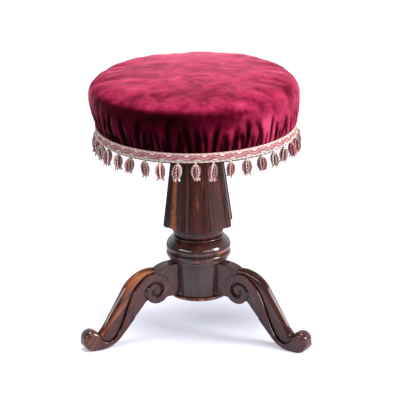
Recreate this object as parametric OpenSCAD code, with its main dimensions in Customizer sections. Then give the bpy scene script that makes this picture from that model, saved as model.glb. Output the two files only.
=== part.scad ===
// Revolving piano stool: a round stuffed seat on an iron screw, a faceted column and a scrolled tripod.
// Millimetres, +Z up. The floor is z = 0, the column's axis is the Z axis and the front faces -Y.

/* [Seat] */
// Widest diameter of the velvet cover
seat_d = 350; // [340:1:360]
// Height of the cover from its turned-under edge to its crown
seat_h = 103.6; // [96:0.2:112]
// How far the braid draws the cover in from its widest radius
hem_in = 11.7; // [9:0.1:14]
// Thickness of the velvet with its lining
cover_t = 1.4; // [1:0.1:2]
// Gathers round the lower side of the cover
gathers = 28; // [20:1:28]
// Depth of the gathers from ridge to valley
gather_depth = 3.2; // [1:0.1:4]
// Thickness of the round seat board
board_t = 22; // [18:1:26]
// Thickness of the wadding over the stuffing
wadding_t = 5; // [3:0.5:8]

/* [Trimming] */
// Height of the braid with its two edge cords
trim_h = 16.2; // [12:0.2:20]
// Diameter of the cord along each edge of the braid
edge_cord_d = 3.2; // [2.4:0.1:4]
// Thickness of the woven band between the cords
band_t = 1.5; // [1:0.1:2.5]
// Number of tassels round the seat
tassel_count = 36; // [24:1:40]
// Length of one tassel below its hanger
tassel_h = 26.5; // [20:0.5:32]
// Widest diameter of one tassel
tassel_d = 15.4; // [10:0.2:18]
// Free length of each tassel's hanger
hanger_h = 3.4; // [2:0.2:8]
// Diameter of each tassel's hanger
hanger_d = 1.5; // [1:0.1:2]

/* [Lift] */
// Diameter of the iron screw spindle
spindle_d = 19; // [16:0.5:21]
// Height that the seat can be raised by turning it
travel = 110; // [60:1:112]
// Height of the spindle's lower end above the drum's underside with the seat down
spindle_sink = 23.5; // [20:0.5:40]
// Diameter of the flange plate under the seat
plate_d = 124; // [100:1:150]
// Thickness of the flange plate
plate_t = 6; // [4:0.5:9]
// Height of the boss under the flange plate
boss_h = 5.7; // [4:0.1:10]
// Diameter of the boss under the flange plate
boss_d = 44; // [32:1:60]
// Diameter of the nut's flange on top of the column
nut_d = 54; // [50:0.5:60]
// Thickness of the nut's flange
nut_t = 4; // [3:0.5:6]
// Diameter of the nut's hub
hub_d = 29; // [27:0.5:31]
// Length of the nut's hub below its flange
hub_h = 26; // [16:1:32]

/* [Column] */
// Length of the faceted shaft
shaft_h = 149; // [140:1:160]
// Distance across the flats at the foot of the shaft
shaft_foot = 113.4; // [108:0.5:118]
// Distance across the flats at the top of the shaft
shaft_top = 77.2; // [74:0.2:84]
// Height of the undercut below the shaft's petals
cup_h = 14.5; // [12:0.5:18]
// Diameter of the tenon that joins column, collar and drum
tenon_d = 46; // [44:0.5:48]
// Depth that the tenon reaches into the drum
tenon_depth = 28; // [20:1:34]

/* [Collar] */
// Height of the turned collar
collar_h = 42.5; // [38:0.5:48]
// Diameter over the two tori of the collar
torus_d = 108.4; // [102:0.2:114]
// Diameter of the collar's neck
neck_d = 86; // [82:0.5:92]
// Diameter of the lower fillet of the collar
fillet_d = 99; // [96:0.5:102]

/* [Pedestal] */
// Diameter of the drum that carries the legs
drum_d = 93; // [90:0.5:98]
// Height of the drum
drum_h = 55.5; // [52:0.5:60]
// Height of the base disc's underside above the floor
disc_lift = 65.5; // [60:0.5:72]
// Thickness of the base disc
disc_t = 7; // [5:0.5:9]
// Diameter of the base disc
disc_d = 100; // [98:0.5:104]

/* [Legs] */
// Distance from the column's axis to the tip of each toe
leg_reach = 216.5; // [205:0.5:230]
// Thickness of each leg from side face to side face
leg_t = 27; // [24:0.5:30]
// Height of the crest of the knee above the floor
knee_top = 124.8; // [120:0.2:128]
// Radius of the crest over the knee
knee_r = 57; // [52:0.5:62]
// Distance of the knee's centre from the drum's surface
knee_out = 46.2; // [43:0.2:50]
// Radius of the hollow crest above the foot
ankle_r = 140; // [120:1:170]
// Depth of the rounded moulding in front of the side faces
mould_depth = 14; // [12:0.5:16]
// Diameter of the narrow bead along each edge of the moulding
bead_d = 3.8; // [2.4:0.1:4.4]
// Radius of the upturned toe
toe_r = 14.5; // [12:0.5:16]
// Height of the underside of the toe's circle above the floor
toe_lift = 7; // [4:0.5:9]
// Radius of the arched sole behind the foot's flat
sole_r = 55; // [48:1:62]
// Length of the flat that stands on the floor
foot_flat = 8.5; // [6:0.5:12]
// Distance of the volute's eye from the drum's surface
volute_out = 39.5; // [38:0.5:42]
// Height of the volute's eye above the floor
volute_h = 86; // [84:0.5:90]
// Width of the carved groove of the volute
groove_w = 2.8; // [2:0.1:3.4]
// Depth of the carved groove of the volute
groove_depth = 1.8; // [1:0.1:2.5]
// Depth of the sunk field beside the volute
field_depth = 1.1; // [0.6:0.1:1.6]
// Depth of the dovetail tongue inside the drum
dove_depth = 12; // [9:0.5:14]
// Width of the dovetail tongue at its root
dove_w = 13; // [11:0.5:15]

/* [Hidden] */
$fn = 96;

// Clearance of glued and screwed wood joints
fit = 0.15;
// Radial running clearance of the spindle in its nut
run_gap = 0.05;
// Clearance round soft and trimming pieces
soft_gap = 0.3;
// Gap where the lowered seat rests on the nut
stop_gap = 0.3;
// Overrun of cuts past the surface that they open
over = 1;

// Heights of the stacked pieces, from the floor up
drum_z = disc_lift + disc_t;
collar_z = drum_z + drum_h;
cup_z = collar_z + collar_h;
shaft_z = cup_z + cup_h;
column_top = shaft_z + shaft_h;
boss_z = column_top + stop_gap;
plate_z = boss_z + boss_h;
board_z = plate_z + plate_t;
cover_z = board_z - cover_t - soft_gap / 2;
seat_z = cover_z + seat_h;

// Radii that several pieces share
seat_r = seat_d / 2;
hem_r = seat_r - hem_in;
drum_r = drum_d / 2;
disc_r = disc_d / 2;
tenon_r = tenon_d / 2;
board_r = hem_r - cover_t - soft_gap;
octagon = 360 / 8;

// Spindle, its chamber and its stop
stop_z = drum_z + spindle_sink;
washer_t = 3;
washer_lap = 4.5;
washer_d = spindle_d + 2 * washer_lap;
washer_gap = 0.2;
chamber_gap = 1;
chamber_d = washer_d + 2 * chamber_gap;
chamber_top = stop_z + travel;
guide_gap = 0.5;
stop_shank_d = spindle_d * 0.42;
stop_head_d = spindle_d * 0.75;
stop_head_h = 5;
stop_shank_h = 16;

// Screws: shank and head diameters, head depth and lengths
screw_d = 3.8;
screw_head_d = 7.6;
screw_head_h = 2.2;
nut_screw_h = 16;
plate_screw_h = 14;
disc_screw_h = 18;
nut_screws_n = 3;
plate_screws_n = 4;
disc_screws_n = 3;

// Braid and tassels
trim_lift = 1;
trim_z = board_z + trim_lift;
trim_top = trim_z + trim_h;
cord_r = edge_cord_d / 2;
cord_centre_r = hem_r + soft_gap + cord_r;
trim_gap = 0.1;
hanger_z = trim_z - trim_gap - hanger_h;
tassel_z = hanger_z - trim_gap - tassel_h;
side_z = trim_top + soft_gap;

// Tacks under the seat
tack_count = 24;
tack_head_d = 8;
tack_head_h = 1;
tack_d = 1.8;
tack_h = 9;
hem_turn = 6.5;

// Crown of the cover: share of the seat's radius, share of the height above the braid
crown_shares = [
    [0, 1], [0.343, 0.991], [0.657, 0.948], [0.84, 0.891], [0.929, 0.822], [0.978, 0.728],
    [1, 0.586], [0.999, 0.456], [0.987, 0.243], [0.970, 0.101], [0.957, 0.047]
];
// Depth of the gathers at each of those points, as shares of their full depth
gather_shares = [0, 0, 0, 0, 0, 0, 0.06, 0.3, 0.8, 1, 0.7];
// Points of the crown that the cover's inside and the padding follow
pad_points = [0, 1, 3, 5, 7, 9];
// Silhouette of a tassel: share of its radius, share of its height
tassel_shares = [
    [0.16, 1], [0.4, 0.93], [0.78, 0.79], [0.98, 0.62], [1, 0.5], [0.86, 0.33],
    [0.52, 0.19], [0.3, 0.14], [0.44, 0.07], [0.62, 0]
];
// One face of the column: share of the distance to the flat, share of the face's half width
petal_shares = [
    [0.978, -0.93], [1, -0.86], [1, -0.68], [0.962, -0.56], [0.978, -0.2],
    [0.978, 0.2], [0.962, 0.56], [1, 0.68], [1, 0.86], [0.978, 0.93]
];
// Depth of the notch at each corner of the column, as a share of the corner's distance
notch_share = 0.935;
// Shoulder of a leg: share of the way from drum to knee, share of the drop to the knee's foot
shoulder_shares = [[0, 0], [0.4, 0.06], [0.7, 0.38], [0.88, 0.68], [1, 1]];

// Leg outline, in its own plane: x is the distance from the axis, y the height
knee_c = [drum_r + knee_out, knee_top - knee_r];
toe_c = [leg_reach - toe_r, toe_lift + toe_r];
ball_share = 0.85;
ball_r = toe_c[1] * ball_share;
crevice_angle = 160;
ankle_angle = 42;
knee_start_angle = 99;
crevice = toe_c + polar(toe_r, crevice_angle);
// Radius of the hollow crest, as far as the room between knee and foot lets it grow
room_share = 0.9;
ankle_way = [cos(ankle_angle), sin(ankle_angle)];
knee_to_crevice = crevice - knee_c;
ankle_spare = knee_r - knee_to_crevice * ankle_way;
ankle_room = (knee_to_crevice * knee_to_crevice - knee_r * knee_r) / (2 * ankle_spare);
hollow_r = ankle_spare > 0 ? min(ankle_r, ankle_room * room_share) : ankle_r;
ankle_c = crevice + polar(hollow_r, ankle_angle);
knee_to_ankle = ankle_c - knee_c;
shin_angle = atan2(knee_to_ankle[1], knee_to_ankle[0])
    + acos((knee_r + hollow_r) / norm(knee_to_ankle));
shin_top = knee_c + polar(knee_r, shin_angle);
shin_foot = ankle_c - polar(hollow_r, shin_angle);
mould_root = mould_depth + bead_d;
mould_set = 0.3;
volute_c = [drum_r + volute_out, volute_h];
volute_r = 30;
volute_end_r = 19.6;
volute_start_angle = 78;
volute_turn_angle = 238;
groove_r = 21;
eye_r = 5.6;
groove_start_angle = -44;
groove_turn_angle = 424;
side_band_w = 13;
// Sunk field, between the band along the crest, the volute's groove and the underside
field_r = knee_r - mould_depth - side_band_w;
field_run = 43;
field_gap_angle = 6;
field_tip_share = 0.8;
knee_to_volute = volute_c - knee_c;
field_start_angle = atan2(knee_to_volute[1], knee_to_volute[0]) - acos(
    (knee_to_volute * knee_to_volute + field_r * field_r - groove_r * groove_r)
    / (2 * norm(knee_to_volute) * field_r)
);
field_tip = knee_c + polar(field_r, field_start_angle) - volute_c;
field_tip_angle = atan2(field_tip[1], field_tip[0]) * field_tip_share;
join = volute_c + [volute_r * 0.6, -volute_r * 0.517];
// Radius of the arched sole, as far as the room between volute and foot lets it grow
heel_x = leg_reach - ball_r - foot_flat;
sole_room = (pow(heel_x - join[0], 2) + pow(join[1], 2)) / (2 * join[1]);
arch_r = min(sole_r, sole_room * room_share);
heel = [heel_x, arch_r];
join_to_heel = heel - join;
under_angle = atan2(join_to_heel[1], join_to_heel[0]) - asin(arch_r / norm(join_to_heel));
under_way = [cos(under_angle), sin(under_angle)];
under_out = over * [under_way[1], -under_way[0]];
field_foot = join + field_run * under_way;
shoulder_z = collar_z - fit;
shoulder_drop = 7.6;
shoulder_end = [knee_c[0] + knee_r * cos(knee_start_angle), knee_top - shoulder_drop];
dove_z = drum_z + fit;
dove_top = shoulder_end[1];
dove_flare = 5;
leg_angles = [210, 330, 90];

function polar(r, angle) = r * [cos(angle), sin(angle)];

function arc(c, r, from, to, steps) =
    [for (i = [0:steps]) c + polar(r, from + (to - from) * i / steps)];

// Part of an ellipse with half axes rx and ry
function oval(c, rx, ry, from, to, steps) = [
    for (i = [0:steps])
        let (t = from + (to - from) * i / steps)
        c + [rx * cos(t), ry * sin(t)]
];

function unit(v) = v / norm(v);

// Profile moved inward by d, square to its own run; it starts at the axis and ends at the side
function inset(p, d) = [
    for (i = [0:len(p) - 1])
        let (run = unit(p[min(i + 1, len(p) - 1)] - p[max(i - 1, 0)]))
        i == 0 ? p[0] - [0, d] : p[i] + d * [run[1], -run[0]]
];

// Radius of a spiral that shrinks steadily from r0 to r1 over a turn
function spiral_r(r0, r1, share) = r0 + (r1 - r0) * share;

function spiral(c, r0, r1, from, turn, steps, shift) = [
    for (i = [0:steps])
        c + polar(spiral_r(r0, r1, i / steps) + shift, from + turn * i / steps)
];

function reversed(p) = [for (i = [len(p) - 1:-1:0]) p[i]];

// Closed skin over a stack of alike sections, each a list of points and its height
module loft(sections) {
    sides = len(sections[0][0]);
    last = len(sections) - 1;
    polyhedron(
        [for (s = sections, p = s[0]) [p[0], p[1], s[1]]],
        concat(
            [[for (k = [0:sides - 1]) k]],
            [for (i = [0:last - 1], k = [0:sides - 1])
                let (a = i * sides + k, b = i * sides + (k + 1) % sides)
                [a, a + sides, b + sides, b]],
            [[for (k = [sides - 1:-1:0]) last * sides + k]]
        )
    );
}

// Places count copies of the children round the axis
module ring_of(count, r, start = 0) {
    for (i = [0:count - 1])
        rotate([0, 0, start + 360 * i / count])
            translate([r, 0, 0])
                children();
}

// A wood screw standing on its point, its head's top face at z = 0 when drawn downwards
module screw_down(length) {
    translate([0, 0, -screw_head_h])
        cylinder(h = screw_head_h, d = screw_head_d);
    translate([0, 0, -length])
        cylinder(h = length, d = screw_d);
}

module screw_hole_down(length) {
    translate([0, 0, -screw_head_h - fit])
        cylinder(h = screw_head_h + fit + over, d = screw_head_d + 2 * fit);
    translate([0, 0, -length - fit])
        cylinder(h = length + fit, d = screw_d + 2 * fit);
}

// Legs

// Half section of the front moulding: depth below the crest, distance from the middle
function mould_half() =
    let (
        half = leg_t / 2 - mould_set,
        bead_r = bead_d / 2,
        crest_half = half - bead_d - bead_r / 4,
        crest_depth = mould_depth - bead_r / 2,
        bead_c = [mould_depth, half - bead_r]
    )
    concat(
        [for (t = [0:15:90]) [crest_depth * (1 - cos(t)), crest_half * sin(t)]],
        [for (t = [150:-30:0]) bead_c + bead_r * [-sin(t), cos(t)]],
        [[mould_root, half]]
    );

// Full section of the moulding, its crest at x = crest and its depth running along side
module mould_section(crest, side) {
    upper = mould_half();
    lower = [for (p = reversed(upper)) if (p[1] > 0) [p[0], -p[1]]];
    polygon([for (p = concat(upper, lower)) [crest + side * p[0], p[1]]]);
}

// The moulding runs over the knee, straight down the shin and round the hollow of the ankle
module front_moulding() {
    translate(knee_c)
        rotate([0, 0, shin_angle]) {
            rotate_extrude(angle = knee_start_angle - shin_angle)
                mould_section(knee_r, -1);
            rotate([90, 0, 0])
                linear_extrude(norm(shin_foot - shin_top))
                    mould_section(knee_r, -1);
            translate([knee_r + hollow_r, -norm(shin_foot - shin_top)])
                rotate([0, 0, 180])
                    rotate_extrude(angle = ankle_angle - shin_angle)
                        mould_section(hollow_r, 1);
        }
}

// Side face of the leg without its volute, from the drum round to the foot and back
function leg_outline() = concat(
    [for (s = shoulder_shares) [
        drum_r + (shoulder_end[0] - drum_r) * s[0],
        shoulder_z + (shoulder_end[1] - shoulder_z) * s[1]
    ]],
    arc(knee_c, knee_r - mould_root + over, knee_start_angle, shin_angle, 8),
    arc(ankle_c, hollow_r + mould_root - over, shin_angle + 180, ankle_angle + 180, 4),
    [[leg_reach, toe_c[1]]],
    arc([leg_reach - ball_r, ball_r], ball_r, 0, -90, 8),
    arc(heel, arch_r, -90, under_angle - 90, 8),
    [join, [drum_r, dove_z]],
    [[drum_r - over, dove_z], [drum_r - over, shoulder_z]]
);

module volute_lobe() {
    linear_extrude(leg_t, center = true)
        polygon(concat(
            spiral(volute_c, volute_r, volute_end_r, volute_start_angle, volute_turn_angle, 28, 0),
            [join]
        ));
}

// Upturned toe: a round with rolled edges
module toe() {
    roll = toe_r * 0.45;
    half = leg_t / 2 - fit;
    translate(toe_c)
        rotate_extrude()
            polygon(concat(
                [[0, -half]],
                arc([toe_r - roll, -half + roll], roll, -90, 0, 5),
                arc([toe_r - roll, half - roll], roll, 0, 90, 5),
                [[0, half]]
            ));
}

// One edge of the volute's groove, shift away from the groove's middle
function groove_edge(shift) =
    spiral(volute_c, groove_r, eye_r, groove_start_angle, groove_turn_angle, 44, shift);

// Carving on one side face: the spiral groove and the sunk field below it
module carving() {
    linear_extrude(groove_depth + over)
        polygon(concat(groove_edge(groove_w / 2), reversed(groove_edge(-groove_w / 2))));
    translate([0, 0, groove_depth - field_depth])
        linear_extrude(field_depth + over)
            polygon(concat(
                arc(knee_c, field_r, field_start_angle, shin_angle, 6),
                [field_foot + under_out, join + under_out],
                arc(volute_c, groove_r, groove_start_angle + field_gap_angle, field_tip_angle, 5)
            ));
}

// One leg lying in the XY plane, thickness along Z
module leg_flat() {
    difference() {
        union() {
            linear_extrude(leg_t, center = true)
                polygon(leg_outline());
            front_moulding();
            volute_lobe();
            toe();
        }
        translate([0, 0, leg_t / 2 - groove_depth])
            carving();
        mirror([0, 0, 1])
            translate([0, 0, leg_t / 2 - groove_depth])
                carving();
    }
}

// Plan of the dovetail tongue, widest inside the drum; gap widens and deepens it for the housing
module dovetail(gap) {
    root = dove_w / 2 + gap;
    tip = (dove_w + dove_flare) / 2 + gap;
    polygon([
        [drum_r + 2 * over, -root], [drum_r + 2 * over, root],
        [drum_r - dove_depth - gap, tip], [drum_r - dove_depth - gap, -tip]
    ]);
}

module leg(angle) {
    color("#5a2d1e")
        rotate([0, 0, angle])
            union() {
                difference() {
                    rotate([90, 0, 0])
                        leg_flat();
                    cylinder(h = collar_z + over, r = drum_r + fit);
                }
                translate([0, 0, dove_z])
                    linear_extrude(dove_top - dove_z)
                        dovetail(0);
            }
}

module leg_left() { leg(leg_angles[0]); }
module leg_right() { leg(leg_angles[1]); }
module leg_rear() { leg(leg_angles[2]); }

// Pedestal

module pedestal_drum() {
    color("#4a2a24")
        difference() {
            translate([0, 0, drum_z])
                cylinder(h = drum_h, r = drum_r);
            for (angle = leg_angles)
                rotate([0, 0, angle])
                    translate([0, 0, drum_z - over])
                        linear_extrude(dove_top - drum_z + over + fit)
                            dovetail(fit);
            translate([0, 0, drum_z - over])
                cylinder(h = drum_h + 2 * over, d = chamber_d + 2 * fit);
            translate([0, 0, collar_z - tenon_depth - fit])
                cylinder(h = tenon_depth + fit + over, r = tenon_r + fit);
            translate([0, 0, disc_lift])
                mirror([0, 0, 1])
                    ring_of(disc_screws_n, disc_screw_r(), leg_angles[2] + 60)
                        screw_hole_down(disc_screw_h);
        }
}

// The disc's screws stand between the dovetails
function disc_screw_r() = drum_r - dove_depth / 2 - screw_d;

module base_disc() {
    color("#54291d")
        difference() {
            translate([0, 0, disc_lift])
                rotate_extrude()
                    polygon(concat(
                        [[0, 0]],
                        arc([disc_r - disc_t / 2, disc_t / 2], disc_t / 2, -90, 90, 8),
                        [[0, disc_t]]
                    ));
            translate([0, 0, disc_lift])
                mirror([0, 0, 1])
                    ring_of(disc_screws_n, disc_screw_r(), leg_angles[2] + 60)
                        screw_hole_down(disc_screw_h);
        }
}

module base_disc_screws() {
    color("#8a7a50")
        translate([0, 0, disc_lift])
            mirror([0, 0, 1])
                ring_of(disc_screws_n, disc_screw_r(), leg_angles[2] + 60)
                    screw_down(disc_screw_h);
}

// Turned collar, bottom to top: fillet, lower torus, groove, tall upper torus, neck bead
module column_collar() {
    torus_r = torus_d / 2;
    fillet_h = collar_h * 0.12;
    low_h = collar_h * 0.24;
    groove_h = collar_h * 0.025;
    high_z = fillet_h + low_h + groove_h;
    belly_h = collar_h * 0.13;
    slope_h = collar_h * 0.37;
    bead_r = collar_h * 0.047;
    neck_r = neck_d / 2;
    quirk_r = neck_r + bead_r * 0.7;
    color("#5b2c1d")
        translate([0, 0, collar_z])
            rotate_extrude()
                polygon(concat(
                    [[tenon_r + fit, 0], [fillet_d / 2, 0], [fillet_d / 2, fillet_h]],
                    oval([torus_r - low_h / 2, fillet_h + low_h / 2], low_h / 2, low_h / 2, -80, 50, 9),
                    [[torus_r - low_h / 2, high_z - groove_h], [torus_r - low_h / 2, high_z]],
                    oval([torus_r - belly_h, high_z + belly_h], belly_h, belly_h, -50, 0, 4),
                    oval([quirk_r, high_z + belly_h], torus_r - quirk_r, slope_h, 10, 80, 8),
                    [[quirk_r, high_z + belly_h + slope_h]],
                    oval([neck_r + bead_r, collar_h - 1.1 * bead_r], bead_r, bead_r, -50, 90, 6),
                    [[neck_r, collar_h], [tenon_r + fit, collar_h]]
                ));
}

// Section of the faceted shaft, apothem away from the axis
function shaft_section(apothem) = [
    for (k = [0:7]) each concat(
        [for (s = petal_shares)
            let (across = apothem * tan(octagon / 2) * s[1])
            s[0] * apothem * [cos(octagon * k), sin(octagon * k)]
                + across * [-sin(octagon * k), cos(octagon * k)]],
        [polar(apothem / cos(octagon / 2) * notch_share, octagon * (k + 0.5))]
    )
];

module column_shaft() {
    foot = shaft_foot / 2;
    bevel_h = cup_h * 0.34;
    bevel_foot = foot * 0.87;
    round_top = bevel_foot * 0.95;
    neck = neck_d / 2 - over;
    round_h = cup_h - bevel_h;
    color("#552a1c")
        difference() {
            union() {
                loft([
                    [shaft_section(bevel_foot), shaft_z - bevel_h],
                    [shaft_section(foot), shaft_z],
                    [shaft_section(shaft_top / 2), column_top]
                ]);
                translate([0, 0, cup_z])
                    rotate_extrude()
                        polygon(concat(
                            [[0, 0]],
                            [for (t = [0:18:90]) [
                                neck + (round_top - neck) * sin(t),
                                round_h * (1 - cos(t))
                            ]],
                            [[round_top, round_h + over], [0, round_h + over]]
                        ));
                translate([0, 0, collar_z - tenon_depth])
                    cylinder(h = tenon_depth + collar_h + over, r = tenon_r);
            }
            translate([0, 0, collar_z - tenon_depth - over])
                cylinder(h = chamber_top - collar_z + tenon_depth + over, d = chamber_d);
            cylinder(h = column_top + over, d = spindle_d + 2 * guide_gap);
            translate([0, 0, column_top - nut_t - hub_h - fit])
                cylinder(h = nut_t + hub_h + fit + over, d = hub_d + 2 * fit);
            translate([0, 0, column_top - nut_t])
                cylinder(h = nut_t + over, d = nut_d + 2 * fit);
            translate([0, 0, column_top])
                ring_of(nut_screws_n, nut_screw_r(), leg_angles[2])
                    screw_hole_down(nut_screw_h);
        }
}

// Lift

function nut_screw_r() = (hub_d / 2 + nut_d / 2) / 2;

module spindle_nut() {
    color("#3b3634")
        difference() {
            union() {
                translate([0, 0, column_top - nut_t])
                    cylinder(h = nut_t, d = nut_d);
                translate([0, 0, column_top - nut_t - hub_h])
                    cylinder(h = hub_h + nut_t, d = hub_d);
            }
            translate([0, 0, column_top - nut_t - hub_h - over])
                cylinder(h = hub_h + nut_t + 2 * over, d = spindle_d + 2 * run_gap);
            translate([0, 0, column_top])
                ring_of(nut_screws_n, nut_screw_r(), leg_angles[2])
                    screw_hole_down(nut_screw_h);
        }
}

module nut_screws() {
    color("#6a6058")
        translate([0, 0, column_top])
            ring_of(nut_screws_n, nut_screw_r(), leg_angles[2])
                screw_down(nut_screw_h);
}

module stop_washer() {
    color("#77716a")
        translate([0, 0, stop_z - washer_t - washer_gap])
            difference() {
                cylinder(h = washer_t, d = washer_d);
                translate([0, 0, -over])
                    cylinder(h = washer_t + 2 * over, d = stop_shank_d + 2 * guide_gap);
            }
}

module stop_screw() {
    head_z = stop_z - washer_t - 2 * washer_gap - stop_head_h;
    color("#6a6058") {
        translate([0, 0, head_z])
            cylinder(h = stop_head_h, d = stop_head_d);
        translate([0, 0, head_z])
            cylinder(h = stop_z + stop_shank_h - head_z, d = stop_shank_d);
    }
}

module screw_spindle() {
    color("#4a4542")
        difference() {
            translate([0, 0, stop_z])
                cylinder(h = board_z - fit - stop_z, d = spindle_d);
            translate([0, 0, stop_z - over])
                cylinder(h = stop_shank_h + fit + over, d = stop_shank_d + 2 * run_gap);
        }
}

function plate_screw_r() = (boss_d / 2 + plate_d / 2) / 2;

module plate_screw_holes() {
    translate([0, 0, plate_z])
        mirror([0, 0, 1])
            ring_of(plate_screws_n, plate_screw_r(), octagon)
                screw_hole_down(plate_screw_h + plate_t);
}

module seat_flange() {
    rim = plate_t * 0.5;
    color("#3b3634")
        difference() {
            union() {
                translate([0, 0, plate_z])
                    rotate_extrude()
                        polygon([
                            [0, 0], [plate_d / 2 - rim, 0], [plate_d / 2, rim],
                            [plate_d / 2, plate_t], [0, plate_t]
                        ]);
                translate([0, 0, boss_z])
                    cylinder(h = boss_h + rim, d = boss_d);
            }
            translate([0, 0, boss_z - over])
                cylinder(h = boss_h + plate_t + 2 * over, d = spindle_d + 2 * run_gap);
            plate_screw_holes();
        }
}

module flange_screws() {
    color("#6a6058")
        translate([0, 0, plate_z])
            mirror([0, 0, 1])
                ring_of(plate_screws_n, plate_screw_r(), octagon)
                    screw_down(plate_screw_h + plate_t);
}

// Seat

module tack_ring(gap) {
    ring_of(tack_count, hem_r - hem_turn - tack_head_d / 3, 0)
        translate([0, 0, cover_z - trim_gap - tack_head_h])
            cylinder(h = tack_h + tack_head_h + gap, d = tack_d + 2 * gap);
}

module seat_board() {
    color("#c09a68")
        difference() {
            translate([0, 0, board_z])
                cylinder(h = board_t, r = board_r);
            plate_screw_holes();
            tack_ring(fit);
        }
}

module cover_tacks() {
    color("#4b4640") {
        tack_ring(0);
        ring_of(tack_count, hem_r - hem_turn - tack_head_d / 3, 0)
            translate([0, 0, cover_z - trim_gap - tack_head_h])
                cylinder(h = tack_head_h, d = tack_head_d);
    }
}

// Outer profile of the cover from the middle of the crown down to above the braid
function crown() = [
    for (s = crown_shares) [seat_r * s[0], side_z + (seat_z - side_z) * s[1]]
];

// Padding under the cover: every second point of the crown, inset by d and clear of the
// gathers' valleys, then down to the board
function pad_profile(d) =
    let (p = inset(crown(), d))
    concat(
        [for (i = pad_points) p[i] - [gather_depth / 2 * gather_shares[i], 0]],
        [[board_r - d + cover_t, board_z + board_t + trim_gap]]
    );

module hair_stuffing() {
    depth = cover_t + 3 * soft_gap + wadding_t;
    color("#6b5238")
        rotate_extrude()
            polygon(concat(pad_profile(depth), [[0, board_z + board_t + trim_gap]]));
}

module wadding() {
    depth = cover_t + 2 * soft_gap;
    color("#e6dfce")
        rotate_extrude()
            polygon(concat(pad_profile(depth), reversed(pad_profile(depth + wadding_t))));
}

// Closed skin of the cover: outside from the crown down, turned under the board, and back up inside
module velvet_cover() {
    sectors = 2 * gathers;
    outside = crown();
    top = len(outside) - 1;
    inside = inset(outside, cover_t);
    rings = concat(
        [for (i = [1:top]) [outside[i], gather_shares[i]]],
        [[[hem_r, side_z], 0], [[hem_r, cover_z], 0]],
        [[[hem_r - hem_turn, cover_z], 0], [[hem_r - hem_turn, cover_z + cover_t], 0]],
        [[[hem_r - cover_t, cover_z + cover_t], 0], [[hem_r - cover_t, side_z], 0]],
        [for (i = reversed(pad_points)) if (i > 0) [inside[i], gather_shares[i]]]
    );
    last = len(rings) - 1;
    points = concat(
        [[0, 0, outside[0][1]]],
        [for (ring = rings, k = [0:sectors - 1])
            let (r = ring[0][0] + (k % 2 - 0.5) * gather_depth * ring[1])
            [r * cos(360 * k / sectors), r * sin(360 * k / sectors), ring[0][1]]],
        [[0, 0, inside[0][1]]]
    );
    faces = concat(
        [for (k = [0:sectors - 1]) [0, 1 + (k + 1) % sectors, 1 + k]],
        [for (i = [0:last - 1], k = [0:sectors - 1], half = [0, 1])
            let (
                a = 1 + i * sectors + k,
                b = 1 + i * sectors + (k + 1) % sectors,
                c = b + sectors,
                d = a + sectors
            )
            half == 0 ? [a, b, c] : [a, c, d]],
        [for (k = [0:sectors - 1])
            [1 + last * sectors + k, 1 + last * sectors + (k + 1) % sectors, len(points) - 1]]
    );
    color("#a01f45")
        polyhedron(points, faces);
}

// Trimming

module gimp_braid() {
    color("#c79a96")
        translate([0, 0, trim_z + edge_cord_d + trim_gap])
            difference() {
                cylinder(h = trim_h - 2 * edge_cord_d - 2 * trim_gap, r = hem_r + soft_gap + band_t);
                translate([0, 0, -over])
                    cylinder(h = trim_h + 2 * over, r = hem_r + soft_gap);
            }
}

module edge_cord(z) {
    translate([0, 0, z])
        rotate_extrude()
            translate([cord_centre_r, 0])
                circle(r = cord_r, $fn = 24);
}

module braid_cord_upper() {
    color("#e3c4bf")
        edge_cord(trim_top - cord_r);
}

module braid_cord_lower() {
    color("#d9cfc0")
        edge_cord(trim_z + cord_r);
}

module tassel_hangers() {
    color("#e8e0cf")
        ring_of(tassel_count, cord_centre_r, -90)
            translate([0, 0, hanger_z])
                cylinder(h = hanger_h, d = hanger_d, $fn = 24);
}

module tassels() {
    color("#b98f8a")
        ring_of(tassel_count, cord_centre_r, -90)
            translate([0, 0, tassel_z])
                rotate_extrude($fn = 24)
                    polygon(concat(
                        [[0, tassel_h]],
                        [for (s = tassel_shares) [tassel_d / 2 * s[0], tassel_h * s[1]]],
                        [[0, 0]]
                    ));
}

leg_left();
leg_right();
leg_rear();
pedestal_drum();
base_disc();
base_disc_screws();
column_collar();
column_shaft();
spindle_nut();
nut_screws();
stop_washer();
stop_screw();
screw_spindle();
seat_flange();
flange_screws();
seat_board();
hair_stuffing();
wadding();
velvet_cover();
cover_tacks();
gimp_braid();
braid_cord_upper();
braid_cord_lower();
tassel_hangers();
tassels();
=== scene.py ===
import math
import random

import bmesh
import bpy
import numpy as np
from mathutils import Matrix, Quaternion, Vector
from mathutils.bvhtree import BVHTree
from mathutils.geometry import delaunay_2d_cdt


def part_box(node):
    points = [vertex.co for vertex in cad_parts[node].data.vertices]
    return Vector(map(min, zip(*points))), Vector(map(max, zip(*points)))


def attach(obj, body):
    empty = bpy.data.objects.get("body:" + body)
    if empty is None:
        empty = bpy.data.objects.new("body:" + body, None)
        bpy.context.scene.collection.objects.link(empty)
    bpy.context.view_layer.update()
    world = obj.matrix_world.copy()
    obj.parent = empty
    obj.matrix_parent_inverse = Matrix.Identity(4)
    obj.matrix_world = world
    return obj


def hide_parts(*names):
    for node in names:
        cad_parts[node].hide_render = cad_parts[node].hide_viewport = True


# Revolving piano stool. Shapes are worked out in millimetres and turned to metres in mesh_piece.
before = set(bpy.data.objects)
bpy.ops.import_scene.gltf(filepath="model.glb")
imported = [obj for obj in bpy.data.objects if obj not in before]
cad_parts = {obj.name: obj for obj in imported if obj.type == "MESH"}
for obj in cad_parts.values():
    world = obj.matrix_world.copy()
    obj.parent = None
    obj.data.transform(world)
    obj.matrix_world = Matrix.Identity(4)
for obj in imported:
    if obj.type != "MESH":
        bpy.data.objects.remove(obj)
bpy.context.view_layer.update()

MM = 0.001
TURN = 2 * math.pi


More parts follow.
